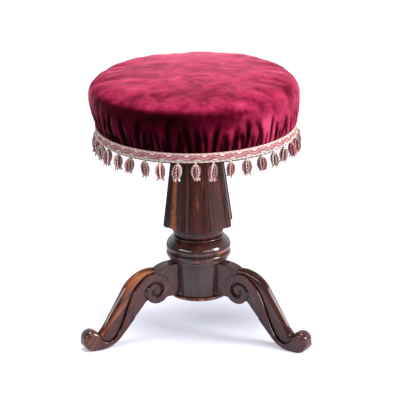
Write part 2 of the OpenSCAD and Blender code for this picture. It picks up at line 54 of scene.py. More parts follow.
def span(node):
    """Lowest and highest corner of a node at rest, in millimetres."""
    low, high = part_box(node)
    return np.array(low) / MM, np.array(high) / MM


def heights(node):
    """Height of the foot and of the top of a node."""
    low, high = span(node)
    return low[2], high[2]


def radius_of(node):
    """Largest distance of a round node from the column's axis."""
    return span(node)[1][0]


# Sizes that the pieces share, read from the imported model
drum_r = radius_of("pedestal_drum")
drum_z, collar_z = heights("pedestal_drum")
disc_z = heights("base_disc")[0]
shaft_low_z, shaft_top_z = heights("column_shaft")
cup_z = heights("column_collar")[1]
trim_low_z = heights("braid_cord_lower")[0]
trim_top_z = heights("braid_cord_upper")[1]
board_z, board_top_z = heights("seat_board")
cover_z, cover_top_z = heights("velvet_cover")
board_r = radius_of("seat_board")
seat_r = radius_of("velvet_cover")
leg_half, leg_reach = span("leg_rear")[1][:2]
TASSELS = 36

# How far the braid and its tassels are turned about the seat, in degrees
BRAID_TURN = 3.4

# Direction of each leg in degrees, and how strong its pale streaks are
LEGS = {"leg_left": (210, 1.0), "leg_right": (330, 0.3), "leg_rear": (90, 0.7)}


# Mesh helpers


def polar(radius, degrees):
    return radius * np.array([math.cos(math.radians(degrees)), math.sin(math.radians(degrees))])


def level_rays(angle):
    """Level unit vectors at angles in radians."""
    return np.stack([np.cos(angle), np.sin(angle), 0 * angle], axis=1)


def unit(v):
    v = np.asarray(v, float)
    return v / np.maximum(np.linalg.norm(v, axis=-1, keepdims=True), 1e-9)


def arc(centre, radius, start, stop, steps):
    """Points on an arc, from one angle in degrees to another."""
    return [np.asarray(centre) + polar(radius, a) for a in np.linspace(start, stop, steps + 1)]


def smooth_step(low, high, x):
    t = np.clip((x - low) / (high - low), 0, 1)
    return t * t * (3 - 2 * t)


def curve_through(knots, per_span=6):
    """Catmull-Rom curve through given points."""
    p = np.asarray(knots, float)
    p = np.vstack([2 * p[0] - p[1], p, 2 * p[-1] - p[-2]])
    out = []
    for i in range(1, len(p) - 2):
        for t in np.arange(per_span) / per_span:
            a = 2 * p[i] + (p[i + 1] - p[i - 1]) * t
            b = (2 * p[i - 1] - 5 * p[i] + 4 * p[i + 1] - p[i + 2]) * t * t
            c = (3 * p[i] - p[i - 1] - 3 * p[i + 1] + p[i + 2]) * t ** 3
            out.append((a + b + c) / 2)
    return np.array(out + [p[-2]])


def lengths_along(path):
    return np.concatenate([[0], np.cumsum(np.linalg.norm(np.diff(path, axis=0), axis=1))])


def at_lengths(path, wanted):
    """Points of a polyline at the wanted distances along it."""
    s = lengths_along(path)
    return np.stack([np.interp(wanted, s, path[:, k]) for k in range(path.shape[1])], axis=1)


def evenly(path, step):
    """A polyline again, with points about step apart and its ends kept."""
    path = np.asarray(path, float)
    total = lengths_along(path)[-1]
    return at_lengths(path, np.linspace(0, total, max(2, int(round(total / step)) + 1)))


def net_faces(rows, cols, wrap_rows=False):
    """Quads over a net of rows by cols points, with each row joined to a ring."""
    faces = []
    for i in range(rows if wrap_rows else rows - 1):
        for j in range(cols):
            here, above = i * cols, (i + 1) % rows * cols
            after = (j + 1) % cols
            faces.append((here + j, here + after, above + after, above + j))
    return faces


def end_faces(rows, cols):
    """The faces that close the first and the last ring of a net."""
    last = (rows - 1) * cols
    return [tuple(range(cols)), tuple(range(last, last + cols))]


def mesh_piece(name, body, points, faces, material, crease, **layers):
    """A mesh from points in millimetres, smooth up to the crease angle in degrees, on its body."""
    mesh = bpy.data.meshes.new(name)
    mesh.from_pydata((np.asarray(points, float) * MM).tolist(), [], faces)
    for layer_name, values in layers.items():
        values = np.asarray(values, np.float32)
        is_vector = values.ndim == 2
        layer = mesh.attributes.new(layer_name, "FLOAT_VECTOR" if is_vector else "FLOAT", "POINT")
        layer.data.foreach_set("vector" if is_vector else "value", values.ravel())
    net = bmesh.new()
    net.from_mesh(mesh)
    bmesh.ops.recalc_face_normals(net, faces=net.faces)
    net.to_mesh(mesh)
    net.free()
    mesh.shade_smooth()
    mesh.set_sharp_from_angle(angle=math.radians(crease))
    mesh.materials.append(material)
    piece = bpy.data.objects.new(name, mesh)
    bpy.context.scene.collection.objects.link(piece)
    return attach(piece, body)


class Net:
    """Points, faces and layers of one piece that is made of several shells."""

    def __init__(self):
        self.points, self.faces, self.layers = [], [], {}
        self.count = 0

    def add(self, points, faces, **layers):
        """One more shell; a layer has one value for all of its points or one for each."""
        points = np.asarray(points, float)
        self.points.append(points)
        self.faces += [tuple(int(k) + self.count for k in face) for face in faces]
        for key, value in layers.items():
            self.layers.setdefault(key, []).append(np.broadcast_to(value, len(points)))
        self.count += len(points)

    def piece(self, name, body, material, crease=60):
        layers = {key: np.concatenate(parts) for key, parts in self.layers.items()}
        return mesh_piece(name, body, np.concatenate(self.points), self.faces, material,
                          crease, **layers)


def revolve(profile, cols, ring=False):
    """Turned solid: profile of (radius, height); its ends close on the axis unless it is a ring."""
    profile = np.asarray(profile, float)
    angle = np.arange(cols) * TURN / cols
    turned = np.stack([
        profile[:, :1] * np.cos(angle), profile[:, :1] * np.sin(angle),
        np.repeat(profile[:, 1:], cols, axis=1)], axis=2).reshape(-1, 3)
    faces = net_faces(len(profile), cols, wrap_rows=ring)
    return turned, faces if ring else faces + end_faces(len(profile), cols)


def directions(path, closed):
    """Unit vectors along a path at each of its points."""
    return unit(np.roll(path, -1, 0) - np.roll(path, 1, 0) if closed else np.gradient(path, axis=0))


def left_of(path, closed):
    """Unit vectors to the left of a flat path at each of its points."""
    run = directions(path, closed)
    return np.stack([-run[:, 1], run[:, 0]], axis=1)


def square_to(path, toward, closed):
    """Two directions square to a path at each of its points, the first as near to toward as it gets."""
    run = directions(path, closed)
    first = unit(toward - (toward * run).sum(1, keepdims=True) * run)
    return first, np.cross(run, first)


def tube(path, toward, radius, sides, closed=False):
    """Skin round a path; toward gives each ring its first direction."""
    first, second = square_to(path, toward, closed)
    angle = np.arange(sides) * TURN / sides
    spokes = (np.cos(angle)[None, :, None] * first[:, None]
              + np.sin(angle)[None, :, None] * second[:, None])
    radius = np.broadcast_to(radius, len(path))[:, None, None]
    points = (path[:, None] + radius * spokes).reshape(-1, 3)
    faces = net_faces(len(path), sides, wrap_rows=closed)
    return points, faces if closed else faces + end_faces(len(path), sides)


def twisted_cord(net, path, toward, radius, plies, pitch, tints, sides=5, closed=False):
    """Plies laid round each other along a path, a turn to each pitch, each with its own tint."""
    first, second = square_to(path, toward, closed)
    along = lengths_along(path)
    total = along[-1] + (np.linalg.norm(path[0] - path[-1]) if closed else 0)
    turns = max(1, round(total / pitch)) if closed else total / pitch
    ply_r = radius * (0.46 if plies > 2 else 0.5)
    for ply in range(plies):
        phase = TURN * (turns * along / total + ply / plies)
        offset = np.cos(phase)[:, None] * first + np.sin(phase)[:, None] * second
        points, faces = tube(path + (radius - ply_r) * offset, toward, ply_r * 1.08, sides, closed)
        net.add(points, faces, tint=tints[ply % len(tints)])


# Material helpers


class Paint:
    """The nodes of a material or of the world, with short calls for those that it uses."""

    def __init__(self, owner):
        owner.use_nodes = True
        self.owner = owner
        self.tree = owner.node_tree

    def node(self, kind, inputs=None, **settings):
        """A new node; inputs go by the socket's name or its place."""
        made = self.tree.nodes.new("ShaderNode" + kind)
        for key, value in settings.items():
            setattr(made, key, value)
        for key, value in (inputs or {}).items():
            self.feed(made.inputs[key], value)
        return made

    def feed(self, socket, value):
        if isinstance(value, bpy.types.NodeSocket):
            self.tree.links.new(value, socket)
        elif isinstance(value, bpy.types.Node):
            self.tree.links.new(value.outputs[0], socket)
        else:
            socket.default_value = value

    def set(self, shader="Principled BSDF", **values):
        """Feeds a shader's sockets, whose names have an underscore here for each space."""
        for key, value in values.items():
            self.feed(self.tree.nodes[shader].inputs[key.replace("_", " ")], value)

    def layer(self, name, output="Fac"):
        """What a layer of the piece's mesh says at a point."""
        return self.node("Attribute", attribute_name=name).outputs[output]

    def place(self):
        """Where a point is in the piece's own axes."""
        return self.node("TexCoord").outputs["Object"]

    def noise(self, place, scale, detail, roughness=0.55, distortion=0.0):
        """Noise; a scale of three numbers, one for each axis, stretches it."""
        if isinstance(scale, tuple):
            place, scale = self.node("Mapping", {"Vector": place, "Scale": scale}), 1.0
        return self.node("TexNoise", {
            "Vector": place, "Scale": scale, "Detail": detail, "Roughness": roughness,
            "Distortion": distortion}).outputs["Fac"]

    def ramp(self, fac, stops, interpolation="LINEAR"):
        made = self.node("ValToRGB", {"Fac": fac})
        band = made.color_ramp
        band.interpolation = interpolation
        while len(band.elements) < len(stops):
            band.elements.new(0.5)
        for element, (position, colour) in zip(band.elements, stops):
            element.position = position
            element.color = (*colour, 1)
        return made.outputs["Color"]

    def level(self, fac, low, high, to_low=0.0, to_high=1.0):
        return self.node("MapRange", {
            "Value": fac, "From Min": low, "From Max": high, "To Min": to_low,
            "To Max": to_high}).outputs["Result"]

    def math(self, operation, a, b):
        return self.node("Math", {0: a, 1: b}, operation=operation).outputs[0]

    def times(self, a, b):
        return self.math("MULTIPLY", a, b)

    def plus(self, a, b):
        return self.math("ADD", a, b)

    def length(self, vector):
        return self.node("VectorMath", {"Vector": vector}, operation="LENGTH").outputs["Value"]

    def blend(self, fac, a, b, mode="MIX"):
        inputs = {"Factor": fac, "A": a, "B": b}
        return self.node("Mix", inputs, data_type="RGBA", blend_type=mode).outputs["Result"]

    def bump(self, height, distance, strength, under=None):
        inputs = {"Height": height, "Distance": distance, "Strength": strength}
        if under is not None:
            inputs["Normal"] = under
        return self.node("Bump", inputs).outputs["Normal"]


def grey(value):
    return (value, value, value)


# Materials

# Colour of the painted shade, with old polish, in the carving, grooves, corners and joints
POLISH_AND_SHADE = (0.004, 0.0025, 0.0025, 1)
RUST = (0.11, 0.045, 0.02, 1)


def rosewood(name, dark, middle, light, streak_at, gloss):
    """French-polished rosewood; the grain runs along z of the piece's grain layer.

    The figure layer adds the paler, orange streaks, and a further layer paints shade, with the
    old polish that has gathered, into the carving, grooves, corners and joints.
    """
    paint = Paint(bpy.data.materials.new(name))
    grain = paint.layer("grain", "Vector")
    wide = paint.noise(grain, (26, 26, 3.2), 5, 0.6, 0.7)
    fine = paint.noise(grain, (190, 190, 9), 6, 0.65, 0.3)
    streaks = paint.plus(paint.times(wide, 0.62), paint.times(fine, 0.38))
    streaks = paint.plus(streaks, paint.times(paint.layer("figure"), 0.16))
    colour = paint.ramp(streaks, [
        (streak_at - 0.13, dark), (streak_at - 0.01, middle), (streak_at + 0.06, middle),
        (streak_at + 0.17, light)])
    veins = paint.noise(grain, (70, 70, 4), 3, 0.5, 1.2)
    vein = paint.ramp(veins, [(0.46, grey(1)), (0.5, grey(0.12)), (0.54, grey(1))])
    colour = paint.blend(0.7, colour, vein, "MULTIPLY")
    pore = paint.level(paint.noise(grain, (1500, 1500, 90), 2, 0.5), 0.63, 0.7)
    colour = paint.blend(paint.times(pore, 0.7), colour, (*dark, 1))
    # Painted shade, with old polish, darkens the carving, grooves, corners and joints
    colour = paint.blend(paint.times(paint.layer("grime"), 0.88), colour, POLISH_AND_SHADE)
    worn = paint.noise(grain, 35, 4)
    paint.set(
        Base_Color=colour, Roughness=paint.level(worn, 0.3, 0.7, 0.34, 0.5),
        Specular_IOR_Level=0.16, Normal=paint.bump(pore, -0.00012, 0.35),
        Coat_Weight=gloss, Coat_Roughness=0.09, Coat_IOR=1.5, Coat_Tint=(1, 0.97, 0.95, 1))
    film = paint.noise(grain, (120, 120, 30), 3)
    paint.set(Coat_Normal=paint.bump(film, 0.00012, 0.35))
    return paint.owner


def pine(name):
    """Bare sawn softwood of the seat board."""
    paint = Paint(bpy.data.materials.new(name))
    place = paint.place()
    rings = paint.noise(place, (5, 70, 70), 5, 0.55, 0.5)
    colour = paint.ramp(rings, [
        (0.35, (0.45, 0.29, 0.15)), (0.5, (0.62, 0.44, 0.26)), (0.65, (0.7, 0.53, 0.34))])
    fibres = paint.noise(place, (40, 900, 900), 3)
    paint.set(Base_Color=colour, Roughness=paint.level(fibres, 0.2, 0.8, 0.6, 0.85),
              Normal=paint.bump(fibres, 0.0003, 0.4))
    return paint.owner


def metal(name, dark, light, roughness):
    """Iron, steel or brass with oil film, wear and fine scratches."""
    paint = Paint(bpy.data.materials.new(name))
    place = paint.place()
    mottle = paint.noise(place, 60, 6, 0.6)
    colour = paint.ramp(mottle, [(0.35, dark), (0.65, light)])
    scratches = paint.noise(place, (400, 400, 20), 3)
    rust = paint.level(paint.noise(place, 130, 5, 0.7), 0.6, 0.75)
    colour = paint.blend(paint.times(rust, 0.35), colour, RUST)
    paint.set(Base_Color=colour, Metallic=1.0,
              Roughness=paint.level(mottle, 0.3, 0.7, roughness - 0.08, roughness + 0.12),
              Normal=paint.bump(scratches, 0.00008, 0.2))
    return paint.owner


def velvet(name):
    """Crushed crimson silk velvet: dark seen square on, pink at grazing angles, with brushed nap.

    The fold layer holds painted light and shade: near 0 in the valleys of the gathers, pale on
    their ridges, on the top and on the right, darker on the front left, and between where plain.
    """
    paint = Paint(bpy.data.materials.new(name))
    place = paint.place()
    nap_and_side_light = paint.noise(place, (15, 21, 12), 6, 0.62, 0.9)
    blotches = paint.noise(place, 46, 5, 0.6, 0.5)
    nap = paint.plus(paint.times(nap_and_side_light, 0.6), paint.times(blotches, 0.4))
    shade = paint.level(nap, 0.3, 0.7, 0.38, 0.62)
    # The fold layer adds its painted light and shade to the nap's tone
    lit = paint.plus(shade, paint.level(paint.layer("fold"), 0.0, 1.0, -0.25, 0.2))
    colour = paint.ramp(lit, [
        (0.27, (0.006, 0.0002, 0.001)), (0.42, (0.04, 0.001, 0.006)),
        (0.52, (0.12, 0.004, 0.02)), (0.62, (0.32, 0.022, 0.066)), (0.76, (0.6, 0.075, 0.16))])
    pile = paint.noise(place, 2600, 2, 0.6)
    lie = paint.bump(nap, 0.005, 0.5)
    paint.set(
        Base_Color=colour, Roughness=paint.level(nap, 0.3, 0.7, 0.62, 0.8),
        Normal=paint.bump(pile, 0.0003, 0.5, lie),
        Specular_IOR_Level=0.0, Sheen_Weight=0.9, Sheen_Roughness=0.3,
        Sheen_Tint=(1.0, 0.25, 0.37, 1))
    return paint.owner


def silk(name, palette):
    """Floss or twisted silk; the tint layer picks the thread's dye."""
    paint = Paint(bpy.data.materials.new(name))
    stops = [(i / len(palette), colour) for i, colour in enumerate(palette)]
    colour = paint.ramp(paint.layer("tint"), stops, "CONSTANT")
    place = paint.place()
    soiled = paint.ramp(paint.noise(place, 160, 5, 0.6), [(0.35, (0.72, 0.66, 0.62)), (0.62, grey(1))])
    colour = paint.blend(0.35, colour, soiled, "MULTIPLY")
    fibres = paint.noise(place, 5200, 3, 0.6)
    colour = paint.blend(paint.level(fibres, 0.35, 0.65, 0.0, 0.2), colour, (0, 0, 0, 1))
    paint.set(Base_Color=colour, Roughness=paint.level(fibres, 0.3, 0.7, 0.38, 0.6),
              Normal=paint.bump(fibres, 0.0002, 0.6),
              Sheen_Weight=0.35, Sheen_Roughness=0.4, Sheen_Tint=(1, 0.95, 0.92, 1))
    return paint.owner


CREAM = (0.95, 0.87, 0.78)
PALE_PINK = (0.9, 0.5, 0.49)
ROSE = (0.56, 0.14, 0.18)
DEEP_ROSE = (0.22, 0.025, 0.045)
SAGE = (0.4, 0.35, 0.27)
SLATE = (0.07, 0.07, 0.065)
DYES = [CREAM, PALE_PINK, ROSE, DEEP_ROSE, SAGE, SLATE]


def dye(index):
    """Layer value that picks one of the dyes."""
    return (index + 0.5) / len(DYES)


leg_wood = rosewood(
    "rosewood_legs", (0.012, 0.004, 0.004), (0.064, 0.015, 0.012), (0.34, 0.1, 0.035), 0.51, 0.8)
column_wood = rosewood(
    "rosewood_shaft", (0.012, 0.004, 0.004), (0.062, 0.014, 0.01), (0.34, 0.1, 0.03), 0.54, 0.45)
turned_wood = rosewood(
    "rosewood_turned", (0.012, 0.005, 0.005), (0.06, 0.016, 0.014), (0.38, 0.11, 0.04), 0.54, 1.0)
board_wood = pine("seat_pine")
dark_iron = metal("dark_iron", (0.05, 0.047, 0.045), (0.14, 0.13, 0.125), 0.5)
steel = metal("spindle_steel", (0.24, 0.22, 0.2), (0.42, 0.4, 0.37), 0.32)
screw_steel = metal("screw_steel", (0.22, 0.2, 0.18), (0.4, 0.37, 0.34), 0.38)
brass = metal("screw_brass", (0.35, 0.24, 0.09), (0.58, 0.43, 0.19), 0.36)
tack_iron = metal("tack_iron", (0.05, 0.048, 0.05), (0.15, 0.145, 0.15), 0.45)
crimson = velvet("crimson_velvet")
silk_threads = silk("silk_threads", DYES)


# Legs. The outline lies in the leg's own plane: distance from the axis, height.

KNEE = np.array([92.7, 67.8])
KNEE_R = 57.0
KNEE_START = 99.0
TOE_R = 14.5
TOE = np.array([leg_reach - TOE_R, 21.5])
BALL_R = 18.3
ANKLE_R = 140.0
CREVICE_ANGLE = 160.0
ANKLE_ANGLE = 42.0
SOLE_R = 55.0
FOOT_FLAT = 8.5
VOLUTE = np.array([86.0, 86.0])

# Where the leg goes into the drum, and its top there
ROOT = np.array([drum_r - 4, 127.7])

# The volute's lobe shrinks as it turns, and meets the drum at its low angle
LOBE_R, LOBE_END_R, LOBE_START, LOBE_TURN = 30.0, 19.6, 78.0, 238.0
LOBE_LOW, RIM_END = 214.0, 232.0

# The spiral groove: radius at both ends, turn, depth, and how far off its middle each wall runs
GROOVE_R, EYE_R, GROOVE_START, GROOVE_TURN = 21.0, 4.4, -44.0, 440.0
GROOVE_DEPTH = 3.3
OUTER_WALL, INNER_WALL = (0.8, 2.0), (0.6, 4.4)
RIM_DEPTH, RIM_WALL = 1.3, 0.8
LEAF_DEPTH, LEAF_WALL, LEAF_WIDTH = 2.2, 1.5, 13.0
BEAD_D = 3.8
BEAD_GAP = 0.8

# Angle of the ankle's arc where the moulding's nose begins, and the lengths of its bend and its round end
NOSE_ANGLE, NOSE_BEND, NOSE_ROUND = 219.5, 38.0, 15.0

# Direction of the grain, and where round the knee its pale streaks lie: middle and half width
GRAIN_ANGLE, STREAK_ANGLE, STREAK_WIDTH = -48.0, 62.0, 26.0

# Steps in millimetres between the points of the outline and of the lines of the carving
OUTLINE_STEP, LINE_STEP = 1.4, 1.1

ankle = TOE + polar(TOE_R, CREVICE_ANGLE) + polar(ANKLE_R, ANKLE_ANGLE)
to_ankle = ankle - KNEE
shin_angle = math.degrees(
    math.atan2(to_ankle[1], to_ankle[0]) + math.acos((KNEE_R + ANKLE_R) / np.linalg.norm(to_ankle)))
heel = np.array([leg_reach - BALL_R - FOOT_FLAT, SOLE_R])
join = VOLUTE + np.array([LOBE_R * 0.6, -LOBE_R * 0.517])
to_heel = heel - join
under_angle = math.degrees(
    math.atan2(to_heel[1], to_heel[0]) - math.asin(SOLE_R / np.linalg.norm(to_heel)))

# Foot of the rounded moulding, where the narrow bead runs along the side face
BEAD_PATH = curve_through([
    (83.8, 117.4), (92, 117), (100, 115), (110, 109), (120, 99), (127.5, 88), (133.5, 75.5),
    (139, 62), (144, 48.5), (149.5, 35.5), (156, 23.5), (163.5, 15.3), (172, 12), (180.5, 14),
    (187.4, 20.5)])
SHOULDER = curve_through([
    ROOT, (52, 127.6), (61.5, 126.9), (72.6, 123.6), (79.3, 120.3), (83.8, 117.4)])

# Edge of the raised band beside the sunk leaf, from the volute down to the underside
LEAF_EDGE = curve_through([
    (84, 103.4), (91, 102), (100, 97.5), (109.3, 89.6), (117, 81.8), (123, 73.5), (128.3, 63),
    (131.8, 50), (134, 36)])


def lobe_r(angle):
    return LOBE_R + (LOBE_END_R - LOBE_R) * (angle - LOBE_START) / LOBE_TURN


def leg_outline():
    """Closed outline, clockwise from the drum's top: points, edge rounding, share of bead."""
    root_low = (ROOT[0], drum_z + 0.15)
    lobe = [VOLUTE + polar(lobe_r(a), a) for a in np.linspace(LOBE_START + LOBE_TURN, LOBE_LOW, 30)]
    # Path, rounding at its start and end, share of bead
    parts = [
        (SHOULDER, 1.0, 1.0, 0),
        (BEAD_PATH, BEAD_D / 2, BEAD_D / 2, 1),
        (arc(TOE, TOE_R, 180, 0, 30), 5.0, 9.5, 0),
        (arc((leg_reach - BALL_R, BALL_R), BALL_R, 0, -90, 20), 9.5, 4.0, 0),
        (arc(heel, SOLE_R, -90, under_angle - 90, 16), 4.0, 2.4, 0),
        ([heel + polar(SOLE_R, under_angle - 90), join], 2.4, 1.6, 0),
        (lobe, 1.2, 1.2, 0),
        ([lobe[-1], root_low], 1.0, 1.0, 0),
        ([root_low, ROOT], 1.0, 1.0, 0),
    ]
    points, rounding, bead = [], [], []
    for path, first, last, share in parts:
        path = evenly(path, OUTLINE_STEP)[:-1]
        t = np.linspace(0, 1, len(path))
        points.append(path)
        rounding.append(first + (last - first) * smooth_step(0, 0.35, t))
        bead.append(share * smooth_step(0, 0.02, t) * (1 - smooth_step(0.93, 1, t)))
    return np.concatenate(points), np.concatenate(rounding), np.concatenate(bead)


def about_volute(p):
    """Distance from the volute's middle, and angle round it in degrees."""
    d = p - VOLUTE
    return np.linalg.norm(d, axis=1), np.degrees(np.arctan2(d[:, 1], d[:, 0])) % 360


def groove_r(turn):
    return GROOVE_R + (EYE_R - GROOVE_R) * turn / GROOVE_TURN


def from_groove(p):
    """Signed distance from the middle of the spiral groove, and the share of its length there."""
    r, angle = about_volute(p)
    best, share = np.full(len(p), 99.0), np.zeros(len(p))
    for turn in (0, 360):
        t = (angle - GROOVE_START) % 360 + turn
        off = r - groove_r(t)
        nearer = (t <= GROOVE_TURN) & (np.abs(off) < np.abs(best))
        best, share = np.where(nearer, off, best), np.where(nearer, t / GROOVE_TURN, share)
    return best, share


def beside(path, p):
    """Signed distance of points from a path, positive on its right."""
    a, run = path[:-1], np.diff(path, axis=0)
    rel = p[:, None] - a[None]
    t = np.clip((rel * run).sum(2) / (run * run).sum(1), 0, 1)
    gap = rel - t[..., None] * run
    far = np.linalg.norm(gap, axis=2)
    nearest = far.argmin(axis=1)
    row = np.arange(len(p))
    side = rel[row, nearest, 0] * run[nearest, 1] - rel[row, nearest, 1] * run[nearest, 0]
    return far[row, nearest] * np.where(side > 0, 1, -1)


def carving(p):
    """Depth of the carving below the leg's side face at each point of the leg's plane."""
    off, share = from_groove(p)
    wall = 1 - smooth_step(*OUTER_WALL, off)
    slope = 1 - smooth_step(*INNER_WALL, -off)
    groove = GROOVE_DEPTH * wall * slope * (1 - smooth_step(0.93, 1, share) * 0.6)

    r, angle = about_volute(p)
    on_rim = (angle > LOBE_START - 2) & (angle < RIM_END)
    rim = RIM_DEPTH * smooth_step(0, RIM_WALL, r - lobe_r(angle)) * on_rim
    rim = rim * smooth_step(-0.1, 0.5, VOLUTE[0] + 9 - p[:, 0])

    inward = beside(LEAF_EDGE, p)
    in_leaf = (inward > 0) & (p[:, 0] > VOLUTE[0] - 1) & (off > 0) & (share < 0.32)
    rising = 0.62 * smooth_step(LEAF_WALL, LEAF_WIDTH, inward)
    leaf = LEAF_DEPTH * in_leaf * (smooth_step(0, LEAF_WALL, inward) - rising)
    return np.maximum.reduce([groove, rim, leaf])


def ridge(x, middle, width):
    """1 where x is at the middle, falling to 0 beside it."""
    return np.exp(-((x - middle) / width) ** 2)


def crevice(points):
    """How much painted shade, with old polish, lies at each point of a leg along +X, from 0 to 1."""
    p, across = points[:, [0, 2]], np.abs(points[:, 1])
    off, share = from_groove(p)
    on_groove = ridge(off, -0.4, 1.9) * (share > 0)
    on_edge = ridge(beside(LEAF_EDGE, p), 1.0, 1.0) * (p[:, 0] > VOLUTE[0] - 1)
    r, angle = about_volute(p)
    on_rim = 0.8 * ridge(r - lobe_r(angle), 0.6, 0.7) * ((angle > LOBE_START) & (angle < RIM_END))
    on_side = smooth_step(leg_half - 4.5, leg_half - 3, across)
    carved = np.maximum.reduce([on_groove, on_edge, on_rim]) * on_side
    by_bead = ridge(beside(BEAD_PATH, p), 0, 1.6) * ridge(across, leg_half - BEAD_D - 0.4, 1.1)
    return np.maximum(carved, by_bead)


def feature_lines():
    """Lines of the carving that the side face's triangles have to follow."""
    lines = []
    turns = np.linspace(0, GROOVE_TURN, 170)
    for off in (-INNER_WALL[1], -2.4, -INNER_WALL[0], *OUTER_WALL):
        lines.append([VOLUTE + polar(groove_r(t) + off, GROOVE_START + t)
                      for t in turns if groove_r(t) + off > 0.6])
    for off in (0, RIM_WALL):
        lines.append([VOLUTE + polar(lobe_r(a) + off, a) for a in np.linspace(LOBE_START, LOBE_LOW, 60)])
    for off in (0, LEAF_WALL / 2, LEAF_WALL):
        lines.append(LEAF_EDGE - left_of(LEAF_EDGE, False) * off)
    return [evenly(line, LINE_STEP) for line in lines]


def inside(loop, p):
    """Which points lie inside a closed loop."""
    a, b = loop, np.roll(loop, -1, 0)
    result = np.zeros(len(p), bool)
    for (ax, ay), (bx, by) in zip(a, b):
        if ay == by:
            continue
        crosses = (ay > p[:, 1]) != (by > p[:, 1])
        result ^= crosses & (p[:, 0] < (bx - ax) * (p[:, 1] - ay) / (by - ay) + ax)
    return result


def side_face(loop, step=1.3):
    """Triangles of the side face inside its loop: points, faces, and which points are the loop's."""
    lines = [line[inside(loop, line)] for line in feature_lines()]
    lines = [line for line in lines if len(line)]
    fixed = np.concatenate([loop] + lines)
    low, high = loop.min(0), loop.max(0)
    xs, zs = np.arange(low[0], high[0], step), np.arange(low[1], high[1], step)
    grid = np.array([(x + (j % 2) * step / 2, z) for j, z in enumerate(zs) for x in xs])
    grid = grid[inside(loop, grid)]
    near = np.array([np.min(np.abs(fixed - g).max(1)) for g in grid])
    grid = grid[near > step * 0.55]
    points = np.concatenate([fixed, grid])
    count = len(loop)
    made = delaunay_2d_cdt([Vector(p) for p in points], [], [list(range(count))], 1, 1e-5)
    out = np.array([tuple(v) for v in made[0]])
    order = -np.ones(count, int)
    for index, sources in enumerate(made[3]):
        for source in sources:
            if source < count:
                order[source] = index
    return out, made[2], order


def edge_rows(rounding, steps=10):
    """Rows from the middle of the edge to the side face: inset and height, without and with a bead."""
    for k in range(3):
        yield (0, (leg_half - rounding) * (k / 2) ** 0.6), (BEAD_D / 2, (leg_half - BEAD_D) * k / 2)
    for t in np.arange(1, steps + 1) / steps * math.pi / 2:
        plain = rounding * (1 - math.cos(t)), leg_half - rounding * (1 - math.sin(t))
        yield plain, (BEAD_D / 2 * (1 - math.sin(2 * t)), leg_half - BEAD_D / 2 * (1 + math.cos(2 * t)))


def leg_slab():
    """Flat-sided body of the leg with its rounded edges, beads, volutes and toe."""
    outline, rounding, bead = leg_outline()
    count = len(outline)
    outward = left_of(outline, True)
    loop = outline - outward * rounding[:, None]
    sunk = carving(loop)
    rows = []
    for plain, beaded in edge_rows(rounding):
        inset, height = (a + (b - a) * bead for a, b in zip(plain, beaded))
        height = height - sunk * smooth_step(0, 1, height / leg_half)
        at = outline - outward * inset[:, None]
        rows.append(np.stack([at[:, 0], height, at[:, 1]], axis=1))
    net = Net()
    band = [row * (1, -1, 1) for row in rows[:0:-1]] + rows
    net.add(np.concatenate(band), net_faces(len(band), count))
    flat, triangles, order = side_face(loop)
    depth = leg_half - carving(flat)
    for side, first in ((1, (len(band) - 1) * count), (-1, 0)):
        own = np.full(len(flat), -1)
        own[order] = first + np.arange(count)
        fresh = np.where(own < 0)[0]
        own[fresh] = net.count + np.arange(len(fresh))
        points = np.stack([flat[fresh, 0], side * depth[fresh], flat[fresh, 1]], axis=1)
        net.points.append(points)
        net.count += len(points)
        net.faces += [tuple(int(own[k]) for k in face) for face in triangles]
    return np.concatenate(net.points), net.faces


def leg_moulding():
    """Broad rounded front, from its flat start on the knee to its rounded nose above the toe."""
    foot_depth, foot_share, roundness = 1.8, 0.96, 0.92
    crest = arc(KNEE, KNEE_R, KNEE_START, shin_angle, 40)
    crest += arc(ankle, ANKLE_R, shin_angle + 180, NOSE_ANGLE, 20)
    nose = curve_through([crest[-1], (185.9, 30.2), (187.2, 25.6), (187.0, 22.4)])
    crest = np.concatenate([evenly(crest, 1.0), nose[1:]])
    along, total = lengths_along(crest), lengths_along(BEAD_PATH)[-1]
    stations = np.linspace(0, total, 110)
    root = at_lengths(BEAD_PATH, stations)
    nearest = np.array([along[np.argmin(np.linalg.norm(crest - p, axis=1))] for p in root])
    before = stations < total - NOSE_BEND
    tail = np.interp(stations, [total - NOSE_BEND, total], [nearest[before][-1], along[-1]])
    top = at_lengths(crest, np.where(before, nearest, tail))
    rounding = np.clip((stations - total) / NOSE_ROUND + 1, 0, 0.98)
    width = (leg_half - BEAD_D - BEAD_GAP) * np.sqrt(1 - rounding ** 2)
    depth = root - top
    sunk = root + unit(depth) * foot_depth
    edge = np.stack([sunk[:, 0], -width * foot_share, sunk[:, 1]], axis=1)
    ring = [edge]
    for t in np.radians(np.linspace(-90, 90, 21)):
        front = top + depth * (1 - abs(math.cos(t)) ** roundness)
        ring.append(np.stack([front[:, 0], width * math.sin(t), front[:, 1]], axis=1))
    ring.append(edge * (1, -1, 1))
    rows, cols = len(stations), len(ring)
    return np.stack(ring, axis=1).reshape(-1, 3), net_faces(rows, cols) + end_faces(rows, cols)


def leg_shape():
    """Slab and moulding of one leg lying along +X, cut to the drum's round."""
    net = Net()
    net.add(*leg_slab())
    net.add(*leg_moulding())
    points = np.concatenate(net.points)
    skin = np.sqrt(np.maximum((drum_r + 0.1) ** 2 - points[:, 1] ** 2, 0))
    points[:, 0] = np.maximum(points[:, 0], skin)
    return points, net.faces


